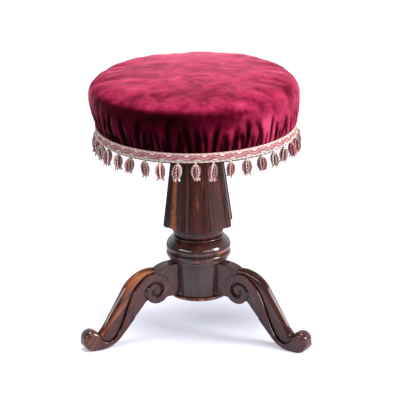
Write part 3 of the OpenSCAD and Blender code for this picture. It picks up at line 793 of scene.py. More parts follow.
def make_legs():
    points, faces = leg_shape()
    # Painted shade, with old polish, in the carving and where the moulding meets the bead
    grime = crevice(points)
    flat = points[:, [0, 2]]
    x, z = (flat - KNEE).T
    over_knee = ridge(np.degrees(np.arctan2(z, x)), STREAK_ANGLE, STREAK_WIDTH)
    figure = smooth_step(KNEE_R - 14, KNEE_R - 4, np.hypot(z, x)) * over_knee
    along, square = polar(1, GRAIN_ANGLE), polar(1, GRAIN_ANGLE + 90)
    grain = np.stack([flat @ square, points[:, 1], flat @ along], axis=1) * MM
    for name, (degrees, streak) in LEGS.items():
        run = polar(1, degrees)
        spread = polar(1, degrees + 90)
        placed = np.column_stack([points[:, :1] * run + points[:, 1:2] * spread, points[:, 2]])
        piece = mesh_piece(name + "_carved", "base", placed, faces, leg_wood, crease=32,
                           grain=grain + degrees * 0.01, grime=grime, figure=figure * streak)
        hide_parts(name)


# Pedestal, disc and collar

# Paler streaks of the turned wood: degrees round it, height above the collar's foot, spreads, strength
TURNED_STREAKS = [
    (-42, 19, 14, 5, 1.2), (-153, 17, 16, 9, 0.5), (-98, 8, 26, 4, 0.3), (-62, 6, 12, 5, 0.3),
    (-122, 38, 12, 3, 0.9), (20, 12, 30, 12, 0.5), (95, 24, 24, 9, 0.7), (150, 8, 25, 6, 0.5)]


def turned_marks(points, grooves):
    """Streak, and painted shade with old polish, at each point of the turned wood."""
    way = np.degrees(np.arctan2(points[:, 1], points[:, 0]))
    up = points[:, 2] - collar_z
    figure = np.zeros(len(points))
    for at, height, spread, tall, strength in TURNED_STREAKS:
        off = (way - at + 180) % 360 - 180
        figure += strength * ridge(off, 0, spread) * ridge(up, height, tall)
    # Painted shade, with old polish, in lines at the grooves and joints
    grime = np.maximum.reduce([ridge(points[:, 2], height, 0.8) for height in grooves])
    return figure, grime


def turned_piece(node, profile, grooves, ring=True, wash=0.0):
    """Turned rosewood with painted shade and old polish in its grooves; wash makes all of it paler."""
    points, faces = revolve(profile, 160, ring)
    figure, grime = turned_marks(points, grooves)
    piece = mesh_piece(node + "_turned", "base", points, faces, turned_wood, crease=40,
                       grain=points * MM, figure=figure + wash, grime=grime)
    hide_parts(node)


# Outline of the disc: how far inside its rim, height. The collar's: radius, height; each row is one
# curve with its number of points from knot to knot
DISC = [(5, 0.1), (2, 0.9), (0.3, 2.8), (0.1, 4.6), (1.2, 6.2), (2.4, 6.7)]
COLLAR = [
    (3, [(49.4, 0.3), (49.6, 1.4), (49.6, 4.0), (49.3, 5.0)]),
    (6, [(50.6, 5.4), (52.3, 6.1), (53.6, 8.0), (54.1, 10.4), (53.8, 12.8), (52.8, 14.5), (51.4, 15.2)]),
    (1, [(50.3, 15.5), (50.3, 16.4)]),
    (6, [(51.6, 16.8), (53.1, 18.0), (54.0, 20.4), (54.1, 22.8), (53.8, 25.2), (53.0, 27.8), (51.6, 30.6),
         (49.5, 33.2), (46.9, 35.4), (43.8, 37.0)]),
    (1, [(41.8, 37.7), (41.0, 38.2)]),
    (6, [(41.4, 38.5), (42.4, 39.2), (42.8, 40.2), (42.3, 41.3), (41.0, 41.9)])
]
# Heights above the collar's foot of its grooves, where painted shade with old polish lies
COLLAR_GROOVES = [0, 5.1, 15.9, 38.2]


def make_turnings():
    edge, foot_z = 0.7, drum_z + 0.05
    bore, socket_r, socket_z = 15.6, 23.1, collar_z - 28.1
    drum = [(bore, foot_z), (drum_r - edge, foot_z)]
    drum += arc((drum_r - edge, foot_z + edge), edge, -90, 0, 4)
    drum += arc((drum_r - edge, collar_z - edge), edge, 0, 90, 4)
    drum += [(socket_r, collar_z), (socket_r, socket_z), (bore, socket_z)]
    turned_piece("pedestal_drum", drum, [drum_z, collar_z])

    disc_r, disc_top = radius_of("base_disc"), drum_z - 0.02
    disc = [(0.01, disc_z), (disc_r - 8, disc_z)]
    disc += list(curve_through([(disc_r - inset, disc_z + height) for inset, height in DISC]))
    disc += [(disc_r - 2.8, disc_top), (0.01, disc_top)]
    turned_piece("base_disc", disc, [drum_z], ring=False, wash=0.7)

    bore, collar_top = 23.15, cup_z - 0.05
    collar = [(bore, collar_z + 0.02), (49.0, collar_z + 0.02)]
    for steps, knots in COLLAR:
        collar += list(curve_through(knots, steps) + (0, collar_z))
    collar += [(39.8, collar_top), (bore, collar_top)]
    grooves = [collar_z + height for height in COLLAR_GROOVES]
    turned_piece("column_collar", collar, grooves + [cup_z])


# Column

# One face of the column: share of the distance to the flat, share of the face's half width. The
# other half mirrors this one.
HALF_PETAL = [
    (0.945, -0.985), (0.972, -0.945), (0.993, -0.9), (1.0, -0.84), (1.0, -0.74), (0.995, -0.68),
    (0.982, -0.64), (0.966, -0.59), (0.962, -0.54), (0.967, -0.44), (0.976, -0.28), (0.98, -0.1)
]
PETAL = HALF_PETAL + [(out, -across) for out, across in reversed(HALF_PETAL)]
HALF_FACE = math.tan(math.radians(22.5))
NOTCH_SHARE = 0.925 / math.cos(math.radians(22.5))

# Streaks of the column's eight faces, counted from +X: strength, place and half width across the face
FACE_STREAKS = [
    (0.4, 0.1, 0.3), (0.9, -0.2, 0.25), (0.3, 0.0, 0.4), (0.7, 0.2, 0.3), (0.4, 0.3, 0.2),
    (1.6, -0.08, 0.36), (0.2, 0.0, 0.4), (0.1, 0.1, 0.4)
]


def column_section(apothem):
    """Eight moulded faces at one height, with a notch at each corner."""
    points = []
    for k in range(8):
        x, y = polar(1, 45 * k)
        for out, across in PETAL:
            a, b = apothem * out, apothem * HALF_FACE * across
            points.append((a * x - b * y, a * y + b * x))
        points.append(polar(apothem * NOTCH_SHARE, 45 * (k + 0.5)))
    return np.array(points)


def column_marks():
    """Streak, and painted shade with old polish, of each point of a section."""
    figure, grime = [], []
    for strength, at, spread in FACE_STREAKS:
        for out, across in PETAL:
            figure.append(strength * ridge(across, at, spread))
            # Painted shade, with old polish, at the corners' notches and in the hollow beside each face's
            # field
            at_corner = abs(across) > 0.8
            grime.append(0.85 * smooth_step(0.98, 0.945, out) if at_corner
                         else 0.5 * ridge(abs(across), 0.57, 0.05))
        figure.append(0)
        grime.append(1)
    return np.array(figure), np.array(grime)


def make_column():
    foot_flat, top_flat = 56.7, 38.6
    shaft_z, top = cup_z + 19.0, shaft_top_z
    tenon_r, tenon_z = 22.95, cup_z - 0.1
    # Bores for the stop washer, the spindle, and the nut with its plate
    chamber_r, guide_r, nut_r, plate_r = 15.0, 10.0, 14.65, 27.15
    chamber_top, nut_z, plate_z = 206.0, top - 30.1, top - 4.0
    neck_r, neck_round, neck_h = 38.2, 4.4, 9.4
    cove_z, cove_h = shaft_z - 1.1, 8.3
    ray = unit(column_section(1.0))
    rows = []

    def flat_row(apothem, z):
        rows.append(np.column_stack([column_section(apothem), np.full(len(ray), z)]))

    def round_row(radius, z, share=1.0, apothem=1.0):
        section = column_section(apothem) * (1 - share) + ray * radius * share
        rows.append(np.column_stack([section, np.full(len(ray), z)]))

    for radius, z in ((chamber_r, shaft_low_z), (chamber_r, chamber_top), (guide_r, chamber_top + 0.1),
                      (guide_r, nut_z), (nut_r, nut_z - 0.05), (nut_r, plate_z - 0.05),
                      (plate_r, plate_z), (plate_r, top)):
        round_row(radius, z)
    for inset, z in ((0.9, top), (0.25, top - 0.3)):
        flat_row(top_flat - inset, z)
    for z in np.linspace(top - 1, shaft_z + 1.2, 15):
        flat_row(top_flat + (foot_flat - top_flat) * (top - z) / (top - shaft_z), z)
    for inset, z in ((0.1, shaft_z + 0.1), (0.9, shaft_z - 0.7), (1.8, shaft_z - 1.0)):
        flat_row(foot_flat - inset, z)
    quarter = np.linspace(0, math.pi / 2, 9)
    for t in quarter:
        hollow = 0.955 - 0.2 * math.sin(t)
        round_row(neck_r + neck_round + 0.5, cove_z - cove_h * (1 - math.cos(t)), t / 3.2,
                  foot_flat * hollow)
    for t in quarter:
        round_row(neck_r + neck_round * math.cos(t), tenon_z + neck_h * (1 - math.sin(t)))
    for z in (tenon_z, shaft_low_z):
        round_row(tenon_r, z)
    points = np.concatenate(rows)
    carved = smooth_step(shaft_z - 6, shaft_z - 1, points[:, 2])
    figure, grime = (np.tile(marks, len(rows)) * carved for marks in column_marks())
    # Painted shade in a line at the top of the neck, under the carved foot
    grime = np.maximum(grime, ridge(points[:, 2], cup_z + neck_h + 0.2, 1.0))
    faces = net_faces(len(rows), len(ray), wrap_rows=True)
    piece = mesh_piece("column_shaft_carved", "base", points, faces, column_wood, crease=24,
                       grain=points * MM, figure=figure, grime=grime)
    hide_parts("column_shaft")


# Spindle, and the finishes of the solids that keep their shape


def make_spindle():
    """Threaded rod with a plain head above and a hole for the stop screw below."""
    low_z, high_z = heights("screw_spindle")
    radius, pitch, depth, cols = radius_of("screw_spindle") - 0.02, 6.0, 1.3, 40
    head, bevel = 24, 1.4
    hole_r, hole_depth = 4.05, 16.15
    rows_z = np.arange(low_z, high_z - head, 0.5)
    thread_top = rows_z[-1]
    z, a = np.meshgrid(rows_z, np.arange(cols) * TURN / cols, indexing="ij")
    phase = (z / pitch - a / TURN) % 1
    crest = smooth_step(0.02, 0.14, phase) * (1 - smooth_step(0.5, 0.62, phase))
    crest = crest * smooth_step(0, 3, z - low_z) * (1 - smooth_step(0, 4, z - thread_top + 5))
    r = radius - depth * (1 - crest)
    thread = np.stack([r * np.cos(a), r * np.sin(a), z], axis=2).reshape(-1, 3)
    shank = [(radius - depth, thread_top), (radius, thread_top + bevel), (radius, high_z)]
    points = np.concatenate([thread, revolve(shank, cols)[0][cols:]])
    rows = len(rows_z) + 2
    net = Net()
    net.add(points, net_faces(rows, cols) + end_faces(rows, cols)[1:])
    hole, hole_faces = revolve([(hole_r, low_z), (hole_r, low_z + hole_depth)], cols)
    net.add(hole, hole_faces[:-2] + hole_faces[-1:])
    net.faces += [(j, (j + 1) % cols, len(points) + (j + 1) % cols, len(points) + j) for j in range(cols)]
    piece = net.piece("screw_spindle_threaded", "seat", steel, crease=34)
    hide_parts("screw_spindle")


def paint_nodes():
    """Finishes of the solids whose shape is already right."""
    finishes = {
        "spindle_nut": dark_iron, "seat_flange": dark_iron, "stop_washer": steel,
        "stop_screw": screw_steel, "nut_screws": screw_steel, "flange_screws": screw_steel,
        "base_disc_screws": brass, "seat_board": board_wood, "cover_tacks": tack_iron}
    for name, finish in finishes.items():
        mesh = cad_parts[name].data
        mesh.materials.clear()
        mesh.materials.append(finish)


# Cushion

# Crown of the cover: share of the seat's radius, share of the height above the braid
CROWN = [
    (0, 1), (0.17, 0.998), (0.343, 0.991), (0.51, 0.975), (0.657, 0.948), (0.76, 0.92), (0.84, 0.888),
    (0.9, 0.848), (0.94, 0.8), (0.972, 0.735), (0.992, 0.655), (1, 0.56), (0.999, 0.456),
    (0.994, 0.35), (0.985, 0.24), (0.970, 0.12), (0.952, 0.035), (0.936, 0)
]

# Where the side of the cover begins, as a share of the seat's radius, and the steps of its rings
SIDE_SHARE, CROWN_STEP, SIDE_STEP = 0.86, 3.0, 1.5

# How much smaller the cover is before it swells, how far it may swell, and how it is then drawn in
BLANK_SHRINK, SWELL_CAP, DRAWN_IN = 3.2, 5.0, 0.014

# The stuffing has settled a little to the left, and stands proud of its middle
STUFFING_LEAN = 3.2
STUFFING_RISE = 3.6

# Gathers: how many, and the ranges of their width, and of the reach and depth of short and long ones
GATHERS = 108
GATHER_WIDTH = (1.9, 3.7)
SHORT_GATHER = ((16, 28), (1.8, 3.2))
LONG_GATHER = ((32, 60), (2.8, 5.0))


def cushion_profile(shrink):
    """Closed outline of the stuffed seat: its crown and side, and what is turned under."""
    side_z = trim_top_z + 0.3
    crown = np.array([(seat_r * s, side_z + (cover_top_z - side_z) * h) for s, h in CROWN])
    inward = shrink * smooth_step(0, 25, crown[:, 1] - side_z)
    crown -= np.column_stack([inward * crown[:, 0] / seat_r, inward * 0.8])
    outer_r, inner_r = board_r + 1.7, board_r - 4.8
    round_board, under_board, over_board = board_r + 0.15, board_z - 0.15, board_top_z + 0.3
    turn_in = [
        (outer_r, side_z - 1), (outer_r, cover_z + 0.6), (outer_r - 0.6, cover_z), (inner_r, cover_z),
        (inner_r, under_board), (round_board, under_board), (round_board, over_board), (0.01, over_board)]
    return curve_through(crown, 4), np.array(turn_in)


def stuffed_blank():
    """Slightly smaller cover, evenly meshed, for the cloth simulation to fill."""
    crown, turn_in = cushion_profile(BLANK_SHRINK)
    crown[0, 0] = 0.01
    blank = mesh_piece("blank", "seat", *revolve(np.vstack([crown, turn_in]), 144), crimson, crease=60)
    remesh = blank.modifiers.new("even", "REMESH")
    remesh.mode = "VOXEL"
    remesh.voxel_size = 0.0048
    bpy.context.view_layer.objects.active = blank
    bpy.ops.object.modifier_apply(modifier=remesh.name)
    return blank


def swell(blank):
    """Cloth simulation that fills the cover, with its turned-under edge held by the tacks."""
    bpy.context.view_layer.objects.active = blank
    group = blank.vertex_groups.new(name="tacked")
    start = np.array([v.co for v in blank.data.vertices])
    low = start[:, 2] < (trim_top_z + 2) * MM
    over_board = start[:, 2] < (trim_top_z + 8) * MM
    held = low | over_board & (np.hypot(start[:, 0], start[:, 1]) < (board_r + 1) * MM)
    group.add(np.flatnonzero(held).tolist(), 1.0, "REPLACE")
    group.add(np.flatnonzero(~held).tolist(), 0.0, "REPLACE")
    cloth = blank.modifiers.new("fill", "CLOTH")
    settings = {
        "vertex_group_mass": "tacked", "use_pressure": True, "uniform_pressure_force": 4.0, "quality": 5,
        "mass": 0.3, "tension_stiffness": 25, "compression_stiffness": 25, "bending_stiffness": 2.0}
    for key, value in settings.items():
        setattr(cloth.settings, key, value)
    cloth.settings.effector_weights.gravity = 0
    cloth.collision_settings.use_collision = False
    scene = bpy.context.scene
    for step in range(1, 21):
        scene.frame_set(step)
    shape = blank.evaluated_get(bpy.context.evaluated_depsgraph_get())
    shift = np.array([v.co for v in shape.data.vertices]) - start
    blank.modifiers.remove(cloth)
    scene.frame_set(1)
    reach = np.linalg.norm(shift, axis=1, keepdims=True)
    return start + shift * np.minimum(1, SWELL_CAP * MM / np.maximum(reach, 1e-9))


def puffs(points, outward, ring):
    """How far the simulated cover stands out from the plain crown, less the mean of its ring."""
    blank = stuffed_blank()
    blank.data.vertices.foreach_set("co", swell(blank).ravel())
    smooth = blank.modifiers.new("even_out", "SMOOTH")
    smooth.factor, smooth.iterations = 0.5, 12
    bpy.ops.object.modifier_apply(modifier=smooth.name)
    filled = [v.co / MM for v in blank.data.vertices]
    skin = BVHTree.FromPolygons(filled, [tuple(face.vertices) for face in blank.data.polygons])
    bpy.data.objects.remove(blank)
    reach = 30.0
    out = np.zeros(len(points))
    for index, (p, n) in enumerate(zip(points, outward)):
        hit = skin.ray_cast(Vector(p + n * reach), Vector(-n), 2 * reach)
        out[index] = 0.0 if hit[0] is None else reach - hit[3]
    return out - (np.bincount(ring, out) / np.bincount(ring))[ring]


def joined_rings(counts):
    """Faces from a pole over rings of points, each with as many points as the last, or half or twice."""
    faces, start = [], 0
    for here, after in zip(counts, counts[1:]):
        far = start + here
        if here == 1:
            faces += [(start, far + j, far + (j + 1) % after) for j in range(after)]
        elif here == after:
            faces += [(start + j, start + (j + 1) % here, far + (j + 1) % here, far + j)
                      for j in range(here)]
        else:
            few, many, a, b = (here, after, start, far) if here < after else (after, here, far, start)
            for j in range(few):
                c, d = a + j, a + (j + 1) % few
                e, f, g = b + 2 * j, b + 2 * j + 1, b + (2 * j + 2) % many
                faces += [(c, e, f), (c, f, d), (d, f, g)]
        start = far
    return faces


def gather_depth(angle, height):
    """Inward depth of the gathers at each point, in millimetres: irregular folds above the braid."""
    rng = random.Random(7)
    depth = np.zeros(len(angle))
    for k in range(GATHERS):
        at = TURN * (k + rng.uniform(-0.36, 0.36)) / GATHERS
        width = rng.uniform(*GATHER_WIDTH) / seat_r
        kind = SHORT_GATHER if k % 3 == 2 else LONG_GATHER
        reach, deep = (rng.uniform(*limits) for limits in kind)
        lean = rng.uniform(-0.0010, 0.0018)
        swing, pitch, phase = rng.uniform(0.002, 0.008), rng.uniform(7, 13), rng.uniform(0, TURN)
        middle = at + lean * height + swing * np.sin(height / pitch + phase)
        off = (angle - middle + math.pi) % TURN - math.pi
        spread = width * (1 + np.clip(height, 0, 80) / 70)
        fade = 1 - smooth_step(0.3 * reach, reach, height)
        fold = deep * np.exp(-np.abs(off / spread) ** 2.6) * fade
        depth = np.maximum(depth, fold) + 0.18 * np.minimum(depth, fold)
    return depth


def ring_counts(radii, outline_rows):
    """Points of each ring of the cover: they double as it widens, and stay the same under the seat."""
    counts = [1, 12]
    for row in range(2, len(radii)):
        wanted = 12 * 2 ** min(6, max(0, round(math.log2(max(radii[row], 1) / 2.6))))
        wanted = wanted if row < outline_rows else 0
        counts.append(max(counts[-1], min(wanted, 2 * counts[-1])))
    return counts


def painted_pile_light(angle, height, depth, facing_up):
    """The fold layer: painted light, paler on the top, on the right and a little on the left, darker on
    the front left, with painted shade in the valleys between the gathers.
    """
    def toward(degrees, power):
        return np.maximum(np.cos(angle - math.radians(degrees)), 0) ** power

    # Painted light from the right and a little from the left, and painted shade on the front left
    right = toward(-12, 1.3)
    nap_and_side_light = 0.5 * right + 0.26 * toward(188, 3) - 0.2 * toward(-122, 3)
    # Painted shade in the valleys of the gathers, darker on the right, and light on their ridges
    ridges = (1 - np.clip(depth / 3.2, 0, 1)) ** (3 - 1.8 * right)
    gathered = (1 - smooth_step(30, 62, height)) * (0.58 * ridges - 0.27 - 0.12 * right)
    return 0.24 + 0.48 * facing_up + (nap_and_side_light + gathered) * (1 - facing_up)


def make_cushion():
    crown, turn_in = cushion_profile(0)
    side_row = np.argmax(crown[:, 0] > SIDE_SHARE * seat_r)
    outline = np.vstack([
        evenly(crown[:side_row + 1], CROWN_STEP)[:-1], evenly(crown[side_row:], SIDE_STEP)])
    rows = np.vstack([outline, turn_in[:-1]])
    slope = unit(np.gradient(outline, axis=0))
    slope = np.vstack([slope, np.tile(slope[-1], (len(rows) - len(outline), 1))])
    counts = ring_counts(rows[:, 0], len(outline))
    angle = np.concatenate([np.arange(count) * TURN / count for count in counts])
    row = np.repeat(np.arange(len(rows)), counts)
    in_outline = row < len(outline)
    ray = level_rays(angle)[:, :2]
    points = np.column_stack([rows[row, :1] * ray, rows[row, 1]])
    outward = np.column_stack([-slope[row, 1:] * ray, slope[row, 0]])
    height = points[:, 2] - trim_top_z

    # Lumps of the stuffing, over the part that the braid leaves free
    free = smooth_step(1, 14, height)
    lumps = (0.8 * np.sin(2 * angle + 0.7) * np.sin(points[:, 2] / 21) + 0.3 * np.sin(5 * angle + 2)
             + 0.12 * np.sin(9 * angle + points[:, 2] / 16)) * rows[row, 0] / seat_r
    lumps = lumps + puffs(points, outward, row)
    points += outward * (free * lumps)[:, None]
    points[:, :2] *= 1 - DRAWN_IN * free[:, None]
    points[:, 0] -= STUFFING_LEAN * smooth_step(0, 55, height)
    points[:, 2] += STUFFING_RISE * smooth_step(15, 75, height)

    # Gathers, which stay clear of the board, and the roll that they make above the braid
    depth = gather_depth(angle, height) * smooth_step(-1.5, 3, height) * (rows[row, 0] > board_r)
    roll = 0.8 * smooth_step(3, 20, height) * (1 - smooth_step(35, 60, height))
    old_r = np.hypot(points[:, 0], points[:, 1])
    new_r = old_r - depth + roll
    by_board = in_outline & (height < board_top_z + 1.5 - trim_top_z)
    new_r = np.where(by_board, np.maximum(new_r, board_r + 0.7), new_r)
    points[:, :2] *= (new_r / np.maximum(old_r, 1e-6))[:, None]

    # Painted light and shade of the velvet, kept in the fold layer
    facing_up = smooth_step(0.35, 0.85, outward[:, 2])
    fold = np.clip(painted_pile_light(angle, height, depth, facing_up) * in_outline, 0, 1)
    faces = joined_rings(counts) + [tuple(range(len(points) - counts[-1], len(points)))]
    piece = mesh_piece("velvet_seat", "seat", points, faces, crimson, crease=60, fold=fold)
    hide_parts("velvet_cover", "wadding", "hair_stuffing")


# Braid and tassels


def round_seat(radius, z, steps, wave=0.0, bulge=0.0):
    """Closed path round the seat that may wave up and down, starting at the front."""
    angle = np.arange(steps) * TURN / steps - math.pi / 2
    wave_at = TASSELS * (angle + math.pi / 2 - math.radians(BRAID_TURN))
    r = radius + bulge * np.cos(2 * wave_at)
    toward = level_rays(angle)
    return toward * r[:, None] + np.outer(z + wave * np.cos(wave_at), (0, 0, 1)), toward


def round_thread(net, radius, z, thick, tint, **waves):
    """Thread laid all round the seat."""
    path, toward = round_seat(radius, z, TASSELS * 24, **waves)
    net.add(*tube(path, toward, thick, 6, True), tint=tint)


def stitch(net, radius, z, degrees, half_length, thick, tint):
    """Short thick stitch that tapers to both ends, lying along the braid."""
    s = np.linspace(-1, 1, 11)
    toward = level_rays(math.radians(degrees) + s * half_length / radius)
    path = toward * radius + (0, 0, z)
    net.add(*tube(path, toward, thick * np.sqrt(np.maximum(1 - s * s, 0.02)), 8), tint=tint)


def tassel_ways():
    """Direction of each tassel, in degrees."""
    return -90 + BRAID_TURN + 360 * np.arange(TASSELS) / TASSELS


CORD_D = 3.2
CORD_STEPS = 1380

# Threads of the wavy ribbon: height above its middle, dye
RIBBON = [(2.2, 3), (1.3, 1), (0.4, 2), (-0.5, 1), (-1.4, 3)]

# Straight threads: height above the braid's middle as a share of half of it, inset, thickness, dye
EDGES = [(1, 0.4, 0.55, 1), (-1, 0.4, 0.6, 4)]

# Stitches between two tassels: edge, inset, degrees on, how far out, half length, thickness, dye
STITCHES = [
    (1, 1.9, 180 / TASSELS, 0.3, 4.4, 1.35, 0), (-1, 1.7, 1.2, 0.2, 5.0, 0.95, 0),
    (1, 1.2, 0, 0.35, 2.0, 0.8, 3), (-1, 1.3, 180 / TASSELS, 0.2, 2.4, 0.7, 5)
]


def make_braid():
    low, high = trim_low_z + CORD_D, trim_top_z - CORD_D
    middle, half = (low + high) / 2, (high - low) / 2
    band_r = radius_of("gimp_braid")
    inner_r, edge_r = band_r - 1.5, band_r - 0.7
    band = [(inner_r, low + 0.1), (edge_r, low + 0.1), (band_r - 0.35, middle), (edge_r, high - 0.1),
            (inner_r, high - 0.1)]
    braid = Net()
    braid.add(*revolve(band, 360, True), tint=dye(2))
    for offset, colour in RIBBON:
        round_thread(braid, band_r, middle + offset, 0.56, dye(colour), wave=2.3, bulge=0.1)
    for edge, inset, thick, colour in EDGES:
        round_thread(braid, band_r + 0.1, middle + edge * (half - inset), thick, dye(colour))
    for way in tassel_ways():
        for edge, inset, on, out, half_length, thick, colour in STITCHES:
            z = middle + edge * (half - inset)
            stitch(braid, band_r + out, z, way + on, half_length, thick, dye(colour))
    piece = braid.piece("gimp_braid_woven", "seat", silk_threads)
    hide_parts("gimp_braid")

    cord_r = radius_of("braid_cord_upper") - CORD_D / 2
    for name, z, colours, slot in (
            ("braid_cord_upper", trim_top_z - CORD_D / 2, (1, 0, 1), "pink_cord"),
            ("braid_cord_lower", trim_low_z + CORD_D / 2, (0, 4, 1), "cream_cord")):
        net = Net()
        path, toward = round_seat(cord_r, z, CORD_STEPS)
        tints = [dye(colour) for colour in colours]
        twisted_cord(net, path, toward, CORD_D / 2, 3, 9.0, tints, sides=6, closed=True)
        piece = net.piece(name + "_twisted", "seat", silk_threads)
        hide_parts(name)


# Silhouette of a tassel and of its loose ends: share of its radius, share of its height
LANTERN = [(0.2, 1.0), (0.56, 0.93), (0.86, 0.8), (1.0, 0.64), (1.0, 0.5), (0.88, 0.34), (0.66, 0.22),
           (0.48, 0.16)]
SKIRT = [(0.44, 0.18), (0.56, 0.12), (0.66, 0.06), (0.7, 0.015)]
RIBS = 8
RIB_R, TASSEL_R, HANGER_R = 1.55, 8.4, 1.25

# Rings wound round a tassel: share of its height from the top, share of its radius, thickness, dye
TASSEL_RINGS = [(0.03, 0.3, 0.85, 0), (0.84, 0.46, 0.75, 2)]


def hanging(outline, height, radius, angle, twist=0.0):
    """Path down a tassel's skin, and the direction across it."""
    share = 1 - outline[:, 1]
    a = angle + twist * share
    path = level_rays(a) * radius * outline[:, :1] - np.outer(height * share, (0, 0, 1))
    return path, level_rays(a + math.pi / 2)


def tassel(rng, height, radius):
    """One tassel hanging from the origin: dark core, twisted cords, head and flared ends."""
    net = Net()
    core = [(radius * 0.6 * s + 0.2, -height * (1 - h)) for s, h in LANTERN]
    net.add(*revolve(core, 10), tint=dye(3))
    spin = rng.uniform(0, TURN)
    lantern, skirt = curve_through(LANTERN, 2), curve_through(SKIRT, 2)
    for k in range(RIBS):
        angle = spin + TURN * (k + rng.uniform(-0.16, 0.16)) / RIBS
        reach = (radius - RIB_R) * rng.uniform(0.88, 1.08)
        path, toward = hanging(lantern, height, reach, angle, rng.uniform(-0.2, 0.4))
        first = rng.choice([0, 1, 2, 2, 4])
        second = rng.choice([first, 2, 3, 4, 4])
        twisted_cord(net, path, toward, RIB_R, 2, 5.5, [dye(first), dye(second)])
    for k in range(RIBS):
        angle = spin + TURN * (k + 0.5 + rng.uniform(-0.3, 0.3)) / RIBS
        path, toward = hanging(skirt, height, radius * rng.uniform(0.8, 1.2), angle)
        thick = np.linspace(0.8, 1.15, len(path))
        net.add(*tube(path, toward, thick, 5), tint=dye(rng.choice([0, 1, 1, 2, 5])))
    outward = level_rays(np.arange(14) * TURN / 14)
    for share, ring_r, thick, colour in TASSEL_RINGS:
        path = outward * radius * ring_r - (0, 0, height * share)
        net.add(*tube(path, outward, thick, 5, True), tint=dye(colour))
    return net


def make_tassels():
    rng = random.Random(11)
    low_z, high_z = heights("tassels")
    hanger = heights("tassel_hangers")[1] - high_z + 1.2
    hang_r = radius_of("braid_cord_upper") - CORD_D / 2
    tassels, hangers = Net(), Net()
    for way in tassel_ways():
        size, wide = rng.uniform(0.9, 1.04), rng.uniform(0.92, 1.14)
        tilt_x, tilt_y = math.radians(rng.uniform(-8, 8)), math.radians(rng.uniform(-6, 6))
        foot = np.array([*polar(hang_r, way), high_z + 0.1])
        one = tassel(rng, (high_z - low_z) * size, TASSEL_R * wide)
        points = np.concatenate(one.points)
        points[:, :2] -= points[:, 2:] * (math.sin(tilt_y), math.sin(tilt_x))
        points[:, 2] = np.maximum(points[:, 2], low_z - high_z + 0.2)
        tassels.add(points + foot, one.faces, tint=np.concatenate(one.layers["tint"]))
        path = foot + np.outer(np.linspace(0, 1, 9) * hanger - 0.4, (0, 0, 1))
        toward = np.tile([*polar(1, way), 0], (9, 1))
        twisted_cord(hangers, path, toward, HANGER_R, 2, 3.0, [dye(0)], sides=6)
    piece = tassels.piece("silk_tassels", "seat", silk_threads)
    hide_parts("tassels")
    piece = hangers.piece("tassel_hangers_twisted", "seat", silk_threads)
    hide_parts("tassel_hangers")


# Room, lamps and camera

ROOM_LEVEL = 0.1
BACKDROP_LEVEL = 0.85
ROOM_COLOUR = (0.96, 0.975, 1, 1)

# Colours of the paper near the stool and far from it, where it is darker as painted shade, and of the
# glow that whitens it to the camera
PAPER_NEAR = (0.78, 0.795, 0.92, 1)
PAPER_FAR_SHADE = (0.2, 0.205, 0.215, 1)
PAPER_GLOW = (0.92, 0.95, 1, 1)


def make_floor():
    """Pale paper on the floor, darker far off as painted shade; a glow seen only by the camera whitens
    it, weaker in an oval round the stool's foot, which paints a shadow there beside the shadows that fall
    on it.
    """
    edge = 6.0
    corners = [(-edge, -edge, 0), (edge, -edge, 0), (edge, edge, 0), (-edge, edge, 0)]
    mesh = bpy.data.meshes.new("studio_floor")
    mesh.from_pydata(corners, [], [(0, 1, 2, 3)])
    floor = bpy.data.objects.new("studio_floor", mesh)
    bpy.context.scene.collection.objects.link(floor)
    paint = Paint(bpy.data.materials.new("studio_floor"))
    place = paint.place()
    away = paint.length(place)
    # Oval round the stool's foot where the glow is weaker: a painted shadow
    shade = paint.node("Mapping", {"Vector": place, "Location": (-0.03, -0.1, 0), "Scale": (1, 2, 1)})
    # Paper darker from 0.5 to 1.4 m away: painted shade, seen in what the polish reflects
    paper = paint.blend(paint.level(away, 0.5, 1.4), PAPER_NEAR, PAPER_FAR_SHADE)
    paint.set(Base_Color=paper, Roughness=0.85, Specular_IOR_Level=0.1)
    glow = paint.plus(paint.level(paint.length(shade), 0.02, 0.16, 0.01, 0.34),
                      paint.level(away, 0.3, 1.4, 0, 0.68))
    seen = paint.node("LightPath").outputs["Is Camera Ray"]
    lift = paint.node("Emission", {"Color": PAPER_GLOW, "Strength": paint.times(seen, glow)})
    both = paint.node("AddShader", {0: paint.tree.nodes["Principled BSDF"], 1: lift})
    paint.set("Material Output", Surface=both)
    mesh.materials.append(paint.owner)


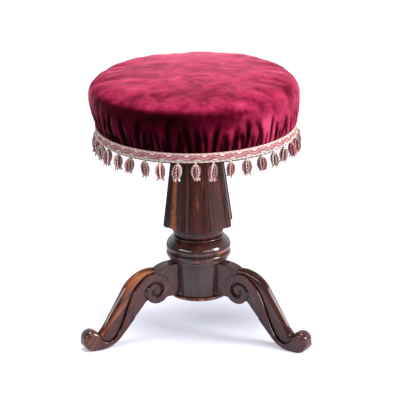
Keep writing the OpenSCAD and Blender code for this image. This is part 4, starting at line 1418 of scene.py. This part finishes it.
def make_world():
    """White to the camera; to the rest a dim room with a bright backdrop low behind the stool."""
    world = bpy.data.worlds.new("studio")
    bpy.context.scene.world = world
    paint = Paint(world)
    way = paint.node("SeparateXYZ", {"Vector": paint.node("TexCoord").outputs["Generated"]}).outputs
    backdrop = paint.times(paint.level(way["Y"], 0.1, 0.6), paint.level(way["Z"], 0.85, 0.4))
    ray = paint.node("LightPath").outputs
    mirrored = paint.math("MAXIMUM", ray["Is Glossy Ray"], ray["Is Transmission Ray"])
    bright = paint.level(mirrored, 0.0, 1.0, BACKDROP_LEVEL, 1.0)
    room = paint.level(backdrop, 0.0, 1.0, ROOM_LEVEL, bright)
    level = paint.node("Mix", {"Factor": ray["Is Camera Ray"], "A": room, "B": 1.0})
    paint.set("Background", Color=ROOM_COLOUR, Strength=level)


# Area lamps: place, what each one is aimed at, width and height, power
LAMPS = {
    "overhead": ((-0.1, -0.2, 2.2), (0, 0, 0.25), (1.3, 0.9), 48),
    "side_right": ((2.0, -0.65, 0.95), (0, 0, 0.42), (0.7, 0.8), 50),
    "front_left": ((-1.65, -1.6, 1.0), (0, 0, 0.2), (2.1, 0.3), 18),
    "front_right": ((1.65, -1.6, 1.1), (0, 0, 0.2), (2.1, 0.3), 18)
}


def put_in_scene(name, data, place, way):
    """A lamp or camera at its place, looking along a direction."""
    holder = bpy.data.objects.new(name, data)
    bpy.context.scene.collection.objects.link(holder)
    holder.location = place
    holder.rotation_mode = "QUATERNION"
    holder.rotation_quaternion = way.to_track_quat("-Z", "Y")
    return holder


def make_lamps():
    for name, (place, target, size, power) in LAMPS.items():
        lamp = bpy.data.lights.new(name, "AREA")
        lamp.shape = "RECTANGLE"
        lamp.size, lamp.size_y = size
        lamp.energy = power
        put_in_scene(name, lamp, place, Vector(target) - Vector(place))


def make_camera():
    """The photograph's view, from the front, a little above and to the right of the stool."""
    distance, elevation, azimuth, roll = 5.0, math.radians(19), math.radians(4.14), math.radians(1.1)
    target = Vector((0, 0, 0.228))
    level = math.cos(elevation)
    away = Vector((math.sin(azimuth) * level, -math.cos(azimuth) * level, math.sin(elevation)))
    pixels, pixels_per_metre = 400, 603
    lens = bpy.data.cameras.new("camera")
    lens.sensor_width = 36
    lens.lens = lens.sensor_width * pixels_per_metre * distance / pixels
    lens.shift_x = 0.006
    camera = put_in_scene("camera", lens, target + away * distance, -away)
    camera.rotation_quaternion = camera.rotation_quaternion @ Quaternion((0, 0, 1), -roll)
    bpy.context.scene.camera = camera
    bpy.context.scene.view_settings.view_transform = "Standard"


make_legs()
make_turnings()
make_column()
make_spindle()
paint_nodes()
make_cushion()
make_braid()
make_tassels()
make_floor()
make_world()
make_lamps()
make_camera()
